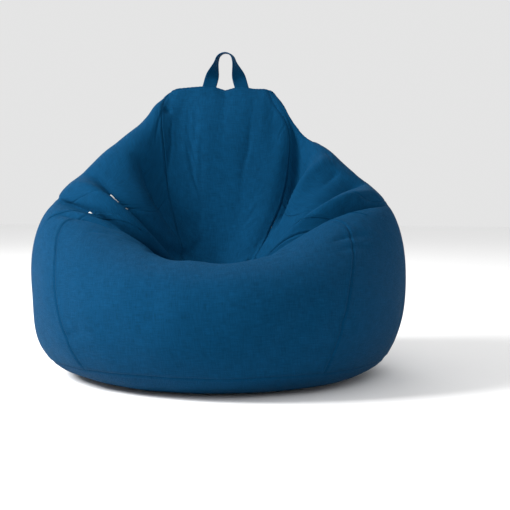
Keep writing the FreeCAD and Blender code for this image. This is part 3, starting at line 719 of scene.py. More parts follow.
def slot_border(sign, half, low_z, high_z, outset=0.0):
    """The rear panels' inner border: the middle of the rear, moved aside by half the slot's width beside the zip."""

    @functools.cache
    def table():
        u = np.linspace(0, TOP_RING, 1401)
        grid = bare_surface(u, np.array([180.0, 181.0]))
        return u, np.linalg.norm(grid[:, 1] - grid[:, 0], axis=-1), grid[:, 0, 2]

    def border(ring):
        u, per_degree, height = table()
        z = np.interp(ring, u, height)
        open_share = np.clip((z - low_z) / 0.004 + 0.5, 0, 1) * np.clip((high_z - z) / 0.004 + 0.5, 0, 1)
        out = 180 - sign * (half * open_share + outset) / np.interp(ring, u, per_degree)
        return out if sign > 0 else 360 - out

    return border


def shapes():
    """The sizes and colours that the panel shows."""
    return bpy.context.scene.bean_bag


# ---- materials ----
WEAVE_RELIEF = 0.0005
def node_tree_of(material):
    material.use_nodes = True
    tree = material.node_tree
    tree.nodes.clear()
    return tree


def add_node(tree, kind, inputs=None, **settings):
    """A shader node with its settings and inputs. An input may be a value or another node's output."""
    node = tree.nodes.new(kind)
    for key, value in settings.items():
        setattr(node, key, value)
    for key, value in (inputs or {}).items():
        if isinstance(value, bpy.types.NodeSocket):
            tree.links.new(value, node.inputs[key])
        else:
            node.inputs[key].default_value = value
    return node


def add_math(tree, operation, *values, clamp=False):
    """A math node's output."""
    return add_node(tree, "ShaderNodeMath", dict(enumerate(values)), operation=operation, use_clamp=clamp).outputs[0]


def add_noise(tree, place, **settings):
    """A noise texture's value at a place."""
    return add_node(tree, "ShaderNodeTexNoise", {"Vector": place, **settings}).outputs["Fac"]


def new_group(name, inputs, outputs):
    """An empty shader group with named sockets: (name, type, default) in, (name, type) out."""
    group = bpy.data.node_groups.new(name, "ShaderNodeTree")
    for socket, kind, default in inputs:
        made = group.interface.new_socket(socket, in_out="INPUT", socket_type=kind)
        if default is not None:
            made.default_value = default
    for socket, kind in outputs:
        group.interface.new_socket(socket, in_out="OUTPUT", socket_type=kind)
    return group, group.nodes.new("NodeGroupInput"), group.nodes.new("NodeGroupOutput")


FLOAT, COLOUR, VECTOR = "NodeSocketFloat", "NodeSocketColor", "NodeSocketVector"


@functools.cache
def weave_group():
    """Plain weave with slubs. Threads are two crossed sine waves, slubs are noise stretched along each thread
    direction, and larger clouds make the heathered tone. Coordinates are the cloth's flat metres."""
    group, gin, gout = new_group(
        "woven_cloth",
        [("Flat", VECTOR, None), ("Thread Pitch", FLOAT, 0.0011), ("Slub", FLOAT, 0.5), ("Cloud", FLOAT, 0.3)],
        [("Tone", FLOAT), ("Height", FLOAT)],
    )
    split = add_node(group, "ShaderNodeSeparateXYZ", {"Vector": gin.outputs["Flat"]})
    pitch = gin.outputs["Thread Pitch"]
    waves, slubs = [], []
    for axis, seed in (("X", 0.0), ("Y", 7.3)):
        other = "Y" if axis == "X" else "X"
        turns = add_math(group, "DIVIDE", split.outputs[axis], pitch)
        wobble = add_noise(group, gin.outputs["Flat"], Scale=160.0, Detail=2.0)
        turns = add_math(group, "ADD", turns, add_math(group, "MULTIPLY", wobble, 0.8))
        waves.append(add_math(group, "SINE", add_math(group, "MULTIPLY", turns, 2 * math.pi)))
        long_way = add_math(group, "MULTIPLY", split.outputs[other], 0.09)
        place = add_node(group, "ShaderNodeCombineXYZ", {"X": split.outputs[axis], "Y": long_way, "Z": seed})
        slubs.append(add_noise(group, place.outputs[0], Scale=420.0, Detail=3.0, Roughness=0.6))
    over = add_math(group, "MAXIMUM", waves[0], waves[1])
    cross = add_math(group, "MULTIPLY", waves[0], waves[1])
    slub_sum = add_math(group, "SUBTRACT", add_math(group, "ADD", slubs[0], slubs[1]), 1.0)
    cloud = add_math(group, "SUBTRACT", add_noise(group, gin.outputs["Flat"], Scale=38.0, Detail=4.0, Roughness=0.65), 0.5)
    cloud_part = add_math(group, "MULTIPLY", cloud, gin.outputs["Cloud"])
    slub_part = add_math(group, "MULTIPLY", slub_sum, gin.outputs["Slub"])
    uneven = add_math(group, "ADD", slub_part, cloud_part)
    tone = add_math(group, "ADD", uneven, add_math(group, "MULTIPLY", cross, 0.10))
    group.links.new(add_math(group, "ADD", tone, 0.5, clamp=True), gout.inputs["Tone"])
    height = add_math(group, "ADD", add_math(group, "MULTIPLY", over, 0.5), add_math(group, "MULTIPLY", slub_sum, 1.2))
    group.links.new(height, gout.inputs["Height"])
    return group


def principled(tree, **sockets):
    """The material's shader and output, with plain values on its sockets."""
    shader = add_node(tree, "ShaderNodeBsdfPrincipled")
    for key, value in sockets.items():
        shader.inputs[key.replace("_", " ")].default_value = value
    out = add_node(tree, "ShaderNodeOutputMaterial")
    tree.links.new(shader.outputs[0], out.inputs["Surface"])
    return shader


def two_tones(tree, factor, low, high):
    """The colour between a low and a high tone, by the factor."""
    mix = add_node(tree, "ShaderNodeMix", data_type="RGBA")
    mix.inputs[6].default_value = (*low, 1)
    mix.inputs[7].default_value = (*high, 1)
    tree.links.new(factor, mix.inputs[0])
    return mix.outputs[2]


def add_roughness(tree, shader, value, low, high):
    """Roughness between two limits, by a value."""
    span = add_node(tree, "ShaderNodeMapRange", {"Value": value, "To Min": low, "To Max": high})
    tree.links.new(span.outputs[0], shader.inputs["Roughness"])


def add_relief(tree, shader, height, strength, distance):
    """Fine relief on a shader, from a height."""
    relief = add_node(tree, "ShaderNodeBump", {"Height": height, "Strength": strength, "Distance": distance})
    tree.links.new(relief.outputs[0], shader.inputs["Normal"])


def cloth_material(
    name, dark, light, pitch=0.0011, slub=1.5, cloud=0.7, roughness=0.9, sheen=0.03, bump=0.45, sheen_tint=(0.06, 0.5, 1.0)
):
    """Woven cloth in two near tones."""
    material = bpy.data.materials.new(name)
    tree = node_tree_of(material)
    flat = add_node(tree, "ShaderNodeUVMap", uv_map="cloth")
    weave = add_node(tree, "ShaderNodeGroup", node_tree=weave_group())
    for socket, value in (("Thread Pitch", pitch), ("Slub", slub), ("Cloud", cloud)):
        weave.inputs[socket].default_value = value
    tree.links.new(flat.outputs[0], weave.inputs["Flat"])
    colour = two_tones(tree, weave.outputs["Tone"], dark, light)
    shader = principled(tree, Sheen_Weight=sheen, Sheen_Roughness=0.4, Specular_IOR_Level=0.16)
    shader.inputs["Sheen Tint"].default_value = (*sheen_tint, 1)
    shader.inputs["Specular Tint"].default_value = (*sheen_tint, 1)
    tree.links.new(colour, shader.inputs["Base Color"])
    add_roughness(tree, shader, weave.outputs["Tone"], roughness + 0.06, roughness - 0.06)
    add_relief(tree, shader, weave.outputs["Height"], bump, WEAVE_RELIEF)
    return material


@functools.cache
def materials():
    """Every finish, by name."""
    s = shapes()
    blue = np.array(s.cloth_colour)
    tape = {"slub": 0.25, "cloud": 0.1, "sheen": 0.1}
    pale = {"pitch": 0.0006, "slub": 0.2, "sheen": 0.1, "sheen_tint": (1, 1, 1)}
    out = {
        "cover": cloth_material("blue_cover_cloth", blue * 0.72, blue * 1.28),
        "strap": cloth_material("blue_strap_cloth", blue * 0.68, blue * 1.2, pitch=0.0009, slub=0.4),
        "tape": cloth_material("blue_zip_tape", blue * 0.35, blue * 0.62, pitch=0.0007, **tape),
        "liner": cloth_material("white_liner_cloth", (0.66, 0.65, 0.62), (0.82, 0.81, 0.78), cloud=0.15, **pale),
        "liner_tape": cloth_material("white_zip_tape", (0.6, 0.59, 0.56), (0.76, 0.75, 0.72), cloud=0.1, **pale),
    }
    thread = bpy.data.materials.new("blue_sewing_thread")
    tree = node_tree_of(thread)
    place = add_node(tree, "ShaderNodeTexCoord")
    twist = add_node(tree, "ShaderNodeTexNoise", {"Vector": place.outputs["Object"], "Scale": 2600.0, "Detail": 1.0})
    colour = two_tones(tree, twist.outputs["Fac"], blue * 0.9, blue * 1.6)
    shader = principled(tree, Roughness=0.6, Specular_IOR_Level=0.2, Specular_Tint=(0.1, 0.5, 1.0, 1))
    tree.links.new(colour, shader.inputs["Base Color"])
    add_relief(tree, shader, twist.outputs["Fac"], 0.3, 0.0002)
    out["thread"] = thread
    for key, name, low, high, rough in (
        ("coil", "blue_zip_coil", tuple(blue * 0.4), tuple(blue * 0.7), 0.38),
        ("liner_coil", "white_zip_coil", (0.6, 0.6, 0.57), (0.75, 0.74, 0.71), 0.4),
        ("metal", "grey_zip_metal", (0.20, 0.21, 0.23), (0.34, 0.35, 0.37), 0.36),
        ("beads", "white_foam_beads", (0.70, 0.70, 0.68), (0.90, 0.90, 0.88), 0.7),
    ):
        material = bpy.data.materials.new(name)
        tree = node_tree_of(material)
        place = add_node(tree, "ShaderNodeTexCoord")
        if key == "beads":
            grain = add_node(tree, "ShaderNodeTexVoronoi", {"Vector": place.outputs["Object"], "Scale": 230.0})
            value = grain.outputs["Distance"]
        else:
            value = add_noise(tree, place.outputs["Object"], Scale=900.0, Detail=4.0)
        colour = two_tones(tree, value, low, high)
        shader = principled(tree, Metallic=0.85 if key == "metal" else 0.0)
        tree.links.new(colour, shader.inputs["Base Color"])
        add_roughness(tree, shader, value, rough - 0.08, rough + 0.12)
        strength, distance = (0.6, 0.001) if key == "beads" else (0.15, 0.0001)
        add_relief(tree, shader, value, strength, distance)
        out[key] = material
    return out


# ---- inside the cover ----
def dilate(a, steps):
    """The largest value within some steps in the grid, closed round the bag."""
    for _ in range(steps):
        a = np.maximum(np.maximum(np.roll(a, 1, 1), np.roll(a, -1, 1)), a)
        a = np.maximum(np.maximum(np.concatenate([a[1:], a[-1:]]), np.concatenate([a[:1], a[:-1]])), a)
    return a


def inset_surface(inset):
    """A smooth surface inside the settled cover, kept off the floor and under the top seam.

    It is the cover averaged with its neighbours, then moved in by the inset and by as much as the averaging
    lifted it out of the folds close by. In the thin top and behind the folds of the arms it is also drawn
    towards the middle of each ring.
    """
    u = np.linspace(0, TOP_RING, RING_ROWS)[:, None]
    cover = cover_surface()
    smooth = blur(cover, 10)
    normals = grid_normals(smooth)
    lifted = np.clip(np.einsum("ijk,ijk->ij", smooth - cover, normals), 0, 0.03)
    deep = inset + 1.1 * blur(dilate(lifted, 3), 2)
    away = zip_calm(cover)[..., None]
    p = (smooth - normals * deep[..., None]) * away + (cover - cover_normals() * inset) * (1 - away)
    p[..., 2] = np.maximum(p[..., 2], inset)
    share = np.clip((u - 9.6) / 1.6, 0, 1)[..., None]
    share = share * share * (3 - 2 * share)
    middle = p.mean(1, keepdims=True)
    middle[..., 2] = 0
    v = np.abs((np.arange(COLUMN_STEPS) * 360.0 / COLUMN_STEPS + 180) % 360 - 180)[None, :, None]
    arms = np.exp(-(((u[..., None] - 7.3) / 1.5) ** 4)) * np.exp(-(((v - 64) / 27) ** 4))
    narrow = 1 - share * (0.28 + 16 * inset) - 0.12 * arms
    p = middle + (p - middle) * np.concatenate([narrow, narrow, np.ones_like(narrow)], -1)
    p[..., 2] -= np.clip(u - (TOP_RING - 1), 0, 1) * inset
    for _ in range(3):
        p = p + (blur(kept_inside(p, 1.4 * inset), 2) - p) * away
    for _ in range(3):
        p = p + (kept_inside(p, 1.1 * inset) - p) * away
    return p


def kept_inside(p, gap):
    """The grid with each point that lies outside the settled cover, or nearer to it than the gap, moved back in."""
    faces = grid_faces(RING_ROWS, COLUMN_STEPS, closed=True).tolist()
    wall = new_piece("cover_wall", cover_surface(), faces)
    inner = new_piece("inner_wall", p, faces)
    wrap = inner.modifiers.new("inside", "SHRINKWRAP")
    wrap.target = wall
    wrap.wrap_method, wrap.wrap_mode, wrap.offset = "NEAREST_SURFACEPOINT", "INSIDE", gap
    moved = inner.evaluated_get(bpy.context.evaluated_depsgraph_get()).to_mesh()
    out = np.empty(p.size, np.float32)
    moved.vertices.foreach_get("co", out)
    for piece in (inner, wall):
        mesh = piece.data
        bpy.data.objects.remove(piece)
        bpy.data.meshes.remove(mesh)
    return out.reshape(p.shape).astype(float)


# ---- stitches ----
STRAP_STITCH = (0.0034, 0.0027, 0.00035)  # pitch, length and radius
def stitch_template(length, radius):
    """One stitch: a round bar that dips into the cloth at both ends. Rings of six points along a half sine."""
    t = np.linspace(0, 1, 7)
    thick = radius * np.sin(np.pi * np.clip(t, 0.04, 0.96)) ** 0.4
    height = radius * (1.3 * np.sin(np.pi * t) - 0.55)
    angle = np.arange(6) * np.pi / 3
    x = np.repeat(((t - 0.5) * length)[:, None], 6, 1)
    y = thick[:, None] * np.cos(angle)
    z = height[:, None] + thick[:, None] * np.sin(angle)
    points = np.stack([x, y, z], -1).reshape(-1, 3)
    index = np.arange(42).reshape(7, 6)
    nxt = np.roll(index, -1, 1)
    quads = np.stack([index[:-1], index[1:], nxt[1:], nxt[:-1]], -1).reshape(-1, 4).tolist()
    return points, quads + [index[0, ::-1].tolist()[::-1], index[-1].tolist()[::-1]]


def stitch_run(line, normal, pitch, length, radius):
    """Stitches along a line on the cloth, each turned to the line and the cloth's normal.

    Returns points and faces.
    """
    s = along(line[None], 1)[0]
    count = max(2, int(s[-1] / pitch))
    at = (np.arange(count) + 0.5) * s[-1] / count
    centre = np.stack([np.interp(at, s, line[:, k]) for k in range(3)], -1)
    up = unit(np.stack([np.interp(at, s, normal[:, k]) for k in range(3)], -1))
    beyond, before = (np.stack([np.interp(at + d, s, line[:, k]) for k in range(3)], -1) for d in (pitch / 2, -pitch / 2))
    ahead = beyond - before
    ahead = unit(ahead - up * np.einsum("ij,ij->i", ahead, up)[:, None])
    side = np.cross(up, ahead)
    template, faces = stitch_template(length, radius)
    basis = np.stack([ahead, side, up], 1)
    points = centre[:, None] + np.einsum("pk,skc->spc", template, basis)
    offset = np.arange(count) * len(template)
    made = [(np.array(f)[None] + offset[:, None]).tolist() for f in faces]
    return points.reshape(-1, 3), [q for group in made for q in group]


def stitch_piece(name, runs, body, slot, pitch=0.0042, length=0.0034, radius=0.00042):
    """One piece from several stitched lines."""
    points, faces, start = [], [], 0
    for line, normal in runs:
        p, f = stitch_run(line, normal, pitch, length, radius)
        points.append(p)
        faces += [[k + start for k in q] for q in f]
        start += len(p)
    piece = new_piece(name, np.concatenate(points), faces)
    return finish_piece(piece, body, materials()["thread"])


STITCH_LINES = []  # filled by the cover's operator: lines and normals beside each sewn edge


def topstitch_beside(p, n, side, away=0.0062):
    """The line that runs a little inside one edge of a panel's grid, with the cloth's normals."""
    k = int(np.argmin(np.abs(EDGE_STEPS - away)))
    axis, last = side // 2, side % 2
    line = np.take(p, -1 - k if last else k, axis)
    normal = np.take(n, -1 - k if last else k, axis)
    inner = slice(4, -4)
    return line[inner] + normal[inner] * 0.0002, normal[inner]


# ---- operators ----
class BagChairSizes(bpy.types.PropertyGroup):
    """Sizes and colours that a maker would change."""

    cloth_colour: bpy.props.FloatVectorProperty(
        name="Cloth colour", description="Middle tone of the cover cloth",
        subtype="COLOR", size=3, min=0, max=1, default=(0.0014, 0.030, 0.076),
    )
    stitch_pitch: bpy.props.FloatProperty(
        name="Stitch pitch", description="From one topstitch to the next", default=0.0042, min=0.002, unit="LENGTH",
    )
    stitch_length: bpy.props.FloatProperty(
        name="Stitch length", description="Length of one topstitch", default=0.0034, min=0.001, unit="LENGTH",
    )
    cloth_thickness: bpy.props.FloatProperty(
        name="Cloth thickness", description="Thickness of the cover cloth", default=0.0011, min=0.0004, unit="LENGTH",
    )
    strap_thickness: bpy.props.FloatProperty(
        name="Strap thickness", description="Thickness of the folded strap", default=0.0034, min=0.001, unit="LENGTH",
    )


def panel_piece(name, node, low, high, left, right, sewn=(1, 1, 1, 1), stitched=(0, 0, 0, 0), step=0.0046):
    """A cover panel with its turned-in edges, and the topstitch lines beside the chosen ones."""
    p, n, flat = panel_grid(low, high, left, right, step=step, sewn=sewn)
    for side, wanted in enumerate(stitched):
        if wanted:
            STITCH_LINES.append(topstitch_beside(p, n, side))
    p, n, flat = turn_in(p, n, flat, sewn)
    piece = grid_piece(name, p, flat)
    thicken(piece, shapes().cloth_thickness)
    finish_piece(piece, "bag", materials()["cover"], [node])
    return piece


class MakeCover(bpy.types.Operator):
    """Cuts and sews the nine cover panels and the top seam's binding."""

    bl_idname = "bean_bag.make_cover"
    bl_label = "Cover"

    def execute(self, context):
        base, seat, top = constant(BASE_SEAM), constant(SEAT_SEAM), constant(TOP_RING)
        left, right = front_seam(-1), front_seam(1)
        panel_piece("cover_front", "cover_front_panel", base, seat, left, right, stitched=(0, 0, 1, 1))
        panel_piece("cover_backrest", "cover_backrest_panel", seat, top, left, right, stitched=(0, 0, 1, 1))
        low_z, high_z = COVER_ZIP_LOW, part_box("cover_zip_tape_left")[1].z
        for side, sign, bounds in (
            ("left", -1, (constant(-REAR_SEAM), left)),
            ("right", 1, (right, constant(REAR_SEAM))),
        ):
            front_side = 3 if sign < 0 else 2
            stitched = [0, 0, 0, 0]
            stitched[front_side] = 1
            for part, low, high, sewn in (
                ("side", base, wing_seam, (1, FLAT_SEAM, 1, 1)),
                ("wing", wing_seam, top, (FLAT_SEAM, 1, 1, 1)),
            ):
                name = f"cover_{side}_{part}"
                panel_piece(name, name + "_panel", low, high, *bounds, sewn, stitched)
            zip_border = slot_border(sign, COVER_SLOT_HALF, low_z, high_z)
            name = f"cover_rear_{side}"
            if sign > 0:
                borders, stitched = (constant(REAR_SEAM), zip_border), (0, 0, 0, 1)
            else:
                borders, stitched = (zip_border, constant(360 - REAR_SEAM)), (0, 0, 1, 0)
            panel_piece(name, name + "_panel", base, top, *borders, stitched=stitched)
        self.make_base()
        self.make_binding()
        return {"FINISHED"}

    def make_base(self):
        """The base: its rim follows the bag's rings down to the floor, and the disc closes inside it."""
        v = np.linspace(-180, 180, 361)[:-1]
        s = np.concatenate([EDGE_STEPS / 0.07, np.linspace(0.24, 1, 16)])
        u = BASE_SEAM * (1 - s)
        uu, vv = np.meshgrid(u, v, indexing="ij")
        rim = read_grid(cover_surface(), uu, vv)
        normal = unit(read_grid(cover_normals(), uu, vv))
        down = along(rim, 0)
        rim = rim - normal * (SEAM_DEPTH * np.exp(-((down / SEAM_WIDTH) ** 1.6)))[..., None]
        STITCH_LINES.append((np.concatenate([rim[4], rim[4, :1]]), np.concatenate([normal[4], normal[4, :1]])))
        edge = rim[-1]
        centre = edge.mean(0) * [1, 1, 0]
        shrink = np.array([0.985, 0.95, 0.88, 0.78, 0.66, 0.52, 0.38, 0.24, 0.12, 0.05])[:, None, None]
        disc = centre + (edge - centre) * shrink
        disc[..., 2] = 0.0004 + 0.0012 * np.sin(disc[..., 0] * 41) ** 2 * np.sin(disc[..., 1] * 37) ** 2
        inner = unit(rim[2] - rim[0])
        tucks = [rim[0] + inner * a - normal[0] * d for a, d in TURNED_IN[::-1]]
        grid = np.concatenate([np.array(tucks), rim, disc])
        rows, cols = grid.shape[:2]
        faces = grid_faces(rows, cols, closed=True, flip=True).tolist()
        faces.append(list(range((rows - 1) * cols, rows * cols)))
        outwards = np.stack([np.sin(np.radians(v)), -np.cos(np.radians(v))], -1)
        flat = grid[..., :2] + outwards[None] * (grid[..., 2:] * 0.9)
        piece = new_piece("cover_base", grid, faces, flat)
        thicken(piece, shapes().cloth_thickness)
        finish_piece(piece, "bag", materials()["cover"], ["cover_base_panel"])

    def make_binding(self):
        """The top seam's edge: a slim rolled cap over both cloths, an oval section carried along the seam."""
        count = 121
        x = 0.1265 * np.sin(np.linspace(-np.pi / 2, np.pi / 2, count))
        sag = np.interp(x, *np.array(TOP_EDGE, float).T / 1000)
        places, aside, raised = np.array(TOP_LEAN, float).T / 1000
        sag = sag - np.interp(x, places, raised)
        aside = np.interp(x, places, aside)
        around = np.linspace(0, 2 * np.pi, 17)[:-1]
        end = np.clip((0.1285 - np.abs(x)) / 0.006, 0.05, 1) ** 0.5
        half_y = 0.0056 * end
        y = TOP_SEAM_BACK + half_y[:, None] * np.cos(around)
        ripple = 1 + 0.08 * np.sin(x * 700)[:, None]
        z = BAG_HEIGHT - sag[:, None] - 0.0015 + 0.0032 * end[:, None] * np.sin(around) * ripple
        p = np.stack([np.repeat((x + aside)[:, None], 16, 1), y, z], -1)
        flat = np.stack([p[..., 0], np.repeat(around[None] * 0.005, count, 0)], -1)
        piece = new_piece("cover_top_binding_cloth", p, capped_faces(count, 16, flip=True), flat)
        finish_piece(piece, "bag", materials()["cover"], ["cover_top_binding"])


class MakeCarryLoop(bpy.types.Operator):
    """Folds the strap of the carry loop and sews its edges."""

    bl_idname = "bean_bag.make_carry_loop"
    bl_label = "Carry loop"

    def path(self):
        """Centreline, outward direction and twist.

        The legs are straight and lean in, the crown is round, and the strap makes a quarter turn on the way up.
        """
        crown = LOOP_HEIGHT - LOOP_CROWN_RADIUS
        away = math.hypot(LOOP_FOOT_SPREAD, crown)
        lean = math.atan2(LOOP_FOOT_SPREAD, crown) - math.asin(LOOP_CROWN_RADIUS / away)
        leg = math.sqrt(away**2 - LOOP_CROWN_RADIUS**2)
        s = np.linspace(-0.016, leg, 60)[:-1]
        turned = np.clip((s - LOOP_FLAT_FOOT) / (leg - LOOP_FLAT_FOOT), 0, 1)
        twist = LOOP_TWIST * turned**2 * (3 - 2 * turned)
        legs = np.stack([LOOP_FOOT_SPREAD - s * math.sin(lean), s * math.cos(lean), np.full_like(s, lean), twist])
        t = np.linspace(0, 1, 40)
        angle = lean + (math.pi / 2 - lean) * t
        arc = np.stack(
            [
                LOOP_CROWN_RADIUS * np.cos(angle),
                crown + LOOP_CROWN_RADIUS * np.sin(angle),
                angle,
                LOOP_TWIST + (1 - LOOP_TWIST) * np.sin(t * math.pi / 2),
            ]
        )
        half = np.concatenate([legs, arc], 1)
        other = half[:, -2::-1].copy()
        other[0] *= -1
        other[2] = math.pi - other[2]
        other[3] = 2 - other[3]
        return np.concatenate([half, other], 1)

    def execute(self, context):
        x, height, lean, twist = self.path()
        thickness = shapes().strap_thickness
        centre = np.stack([x, np.full_like(x, TOP_SEAM_BACK), BAG_HEIGHT + height], -1)
        outwards = np.stack([np.cos(lean), 0 * lean, np.sin(lean)], -1)
        turn = (twist * math.pi / 2)[:, None]
        back = np.array([0.0, 1.0, 0.0])
        across = outwards * np.cos(turn) + back * np.sin(turn)
        through = back * np.cos(turn) - outwards * np.sin(turn)
        # section: a flat oval-edged strap, a little thicker along its two stitched edges
        w = np.concatenate([np.linspace(-1, 1, 27), np.linspace(1, -1, 27)])
        side = np.concatenate([np.full(27, -1.0), np.full(27, 1.0)])
        lift = np.clip(1 - np.abs(w) ** 14, 0.0, 1) ** 0.5 * (1 - 0.25 * np.exp(-(((np.abs(w) - 0.80) / 0.05) ** 2)))
        half_w = STRAP_WIDTH / 2 - 0.0002
        p = (
            centre[:, None]
            + across[:, None] * (w * half_w)[None, :, None]
            + through[:, None] * (side * lift * thickness / 2)[None, :, None]
        )
        s = along(centre[None], 1)[0]
        flat = np.stack([np.repeat((w * half_w)[None], len(s), 0), np.repeat(s[:, None], len(w), 1)], -1)
        keep = p[..., 2].max(1) > BAG_HEIGHT - 0.012
        p, flat = p[keep], flat[keep]
        rows, cols = p.shape[:2]
        piece = new_piece("carry_strap", p, capped_faces(rows, cols), flat)
        piece.data.materials.append(materials()["strap"])
        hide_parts("carry_loop")
        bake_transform(piece)
        runs = []
        for edge in (-0.80, 0.80):
            for face in (-1, 1):
                line = centre + across * (edge * half_w) + through * (face * thickness * 0.40)
                use = height > 0.014
                runs.append((line[use], (through * face)[use]))
        stitch_piece("carry_strap_stitches", runs, "loop", "strap", *STRAP_STITCH)
        return {"FINISHED"}


def arc_point(radius, angle, x):
    """Points on the rear wall's arc, at a radius, an angle and a place along X."""
    radius, angle, x = np.broadcast_arrays(radius, angle, x)
    return np.stack([x, ARC_Y + radius * np.cos(angle), BELLY_HEIGHT + radius * np.sin(angle)], -1)


class MakeCoverZip(bpy.types.Operator):
    """Weaves the cover zip's tapes and winds its coils."""

    bl_idname = "bean_bag.make_cover_zip"
    bl_label = "Cover zip"

    def execute(self, context):
        low = math.asin((COVER_ZIP_LOW - BELLY_HEIGHT) / ARC_RADIUS)
        high = low + COVER_ZIP_LENGTH / ARC_RADIUS
        middle = ARC_RADIUS - COVER_CLOTH / 2
        for side, sign in (("left", -1), ("right", 1)):
            angle = np.linspace(low - 0.006 / ARC_RADIUS, high + 0.006 / ARC_RADIUS, 211)
            x = np.concatenate([[0.0033, 0.0037], np.linspace(0.0042, 0.0125, 12)])
            rib = 0.00008 * np.sin(angle / 0.0008 * 2)[:, None]
            drop = np.interp(x, [0.0033, 0.0068, 0.0085, 0.0125], [0, 0, -0.0012, -0.0022])[None]
            top = arc_point(middle + 0.0004 + rib + drop, angle[:, None], sign * x[None])
            flat = np.stack(np.broadcast_arrays(x[None], (angle * ARC_RADIUS)[:, None]), -1)
            piece = grid_piece(f"cover_zip_{side}_tape_cloth", top, flat, flip=sign > 0)
            thicken(piece, 0.0008)
            finish_piece(piece, "bag", materials()["tape"], [f"cover_zip_tape_{side}"])
            self.make_coil(side, sign, low + 0.003 / ARC_RADIUS, high - 0.003 / ARC_RADIUS, middle)
        return {"FINISHED"}

    def make_coil(self, side, sign, low, high, middle):
        """A wound coil: a helix of small loops round a flat oval, its loops 1.5 mm apart, as a tube of five sides."""
        loops = int((high - low) * ARC_RADIUS / 0.0015)
        t = np.linspace(0, 1, loops * 10 + 1)
        turn = 2 * np.pi * loops * t
        x = 0.00215 + 0.00118 * np.cos(turn)
        r = middle + 0.00082 * np.sin(turn)
        centre = arc_point(r, low + (high - low) * t, sign * x)
        ahead = unit(np.gradient(centre, axis=0))
        aside = unit(np.cross(ahead, np.array([1.0, 0, 0])))
        up = np.cross(aside, ahead)
        around = np.arange(5) * 2 * np.pi / 5
        section = aside[:, None] * np.cos(around)[:, None] + up[:, None] * np.sin(around)[:, None]
        ring = centre[:, None] + 0.00034 * section
        piece = new_piece(f"cover_zip_{side}_coil_winding", ring, capped_faces(len(t), 5))
        finish_piece(piece, "bag", materials()["coil"], [f"cover_zip_coil_{side}"])


class MakeTopstitching(bpy.types.Operator):
    """Sews the rows of topstitching beside the cover's seams."""

    bl_idname = "bean_bag.make_topstitching"
    bl_label = "Topstitching"

    def execute(self, context):
        s = shapes()
        stitch_piece("cover_topstitching", STITCH_LINES, "bag", "cover_cloth", s.stitch_pitch, s.stitch_length)
        return {"FINISHED"}


class MakeLiner(bpy.types.Operator):
    """Cuts the liner's gores and base just inside the cover."""

    bl_idname = "bean_bag.make_liner"
    bl_label = "Liner"

    def execute(self, context):
        inner = inset_surface(LINER_INSET)
        base, top = constant(BASE_SEAM), constant(TOP_RING - 0.25)
        low_z, high_z = LINER_ZIP_LOW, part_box("liner_zip_tape_left")[1].z
        slots = [slot_border(sign, LINER_SLOT_HALF, low_z, high_z) for sign in (-1, 1)]
        gores = {
            "liner_front": ("liner_front_gore", constant(-FRONT_SEAM), constant(FRONT_SEAM)),
            "liner_left": ("liner_left_gore", constant(-REAR_SEAM), constant(-FRONT_SEAM)),
            "liner_right": ("liner_right_gore", constant(FRONT_SEAM), constant(REAR_SEAM)),
            "liner_rear_left": ("liner_rear_left_gore", slots[0], constant(360 - REAR_SEAM)),
            "liner_rear_right": ("liner_rear_right_gore", constant(REAR_SEAM), slots[1]),
        }
        for name, (node, left, right) in gores.items():
            p, n, flat = panel_grid(base, top, left, right, step=0.011, surface=inner, depth=0.0012)
            piece = grid_piece(name + "_cloth", p, flat)
            thicken(piece, LINER_CLOTH)
            finish_piece(piece, "bag", materials()["liner"], [node])
        v = np.linspace(-180, 180, 181)[:-1]
        uu, vv = np.meshgrid(np.linspace(BASE_SEAM, 0, 9), v, indexing="ij")
        rim = read_grid(inner, uu, vv)
        centre = rim[-1].mean(0)
        disc = centre + (rim[-1] - centre) * np.array([0.9, 0.7, 0.45, 0.2, 0.06])[:, None, None]
        grid = np.concatenate([rim, disc])
        rows, cols = grid.shape[:2]
        faces = grid_faces(rows, cols, closed=True, flip=True).tolist() + [list(range((rows - 1) * cols, rows * cols))]
        piece = new_piece("liner_base_cloth", grid, faces, grid[..., :2])
        thicken(piece, LINER_CLOTH)
        finish_piece(piece, "bag", materials()["liner"], ["liner_base"])
        return {"FINISHED"}


class MakeFilling(bpy.types.Operator):
    """Fills the liner with beads."""

    bl_idname = "bean_bag.make_filling"
    bl_label = "Bead filling"

    def execute(self, context):
        p = inset_surface(FILL_INSET + 0.002)[::2, ::2]
        p[..., 2] = np.minimum(p[..., 2], FILL_HEIGHT)
        piece = new_piece("bead_heap", p, capped_faces(*p.shape[:2]))
        finish_piece(piece, "bag", materials()["beads"], ["bead_filling"])
        return {"FINISHED"}


class MakeFittings(bpy.types.Operator):
    """Gives the zips' own metal and moulded parts their finishes."""

    bl_idname = "bean_bag.make_fittings"
    bl_label = "Zip fittings"

    def execute(self, context):
        metal = ("slider", "top_stop", "bottom_stop")
        finishes = {f"{owner}_zip_{part}": "metal" for owner in ("cover", "liner") for part in metal}
        finishes["cover_zip_pull"] = "metal"
        for part in ("coil_left", "coil_right", "tape_left", "tape_right"):
            finishes[f"liner_zip_{part}"] = "liner_coil"
        for node, finish in finishes.items():
            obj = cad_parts[node]
            obj.data.materials.clear()
            obj.data.materials.append(materials()[finish])
        return {"FINISHED"}


FLOOR_HALF, FLOOR_LEVEL = 6.0, -0.0006


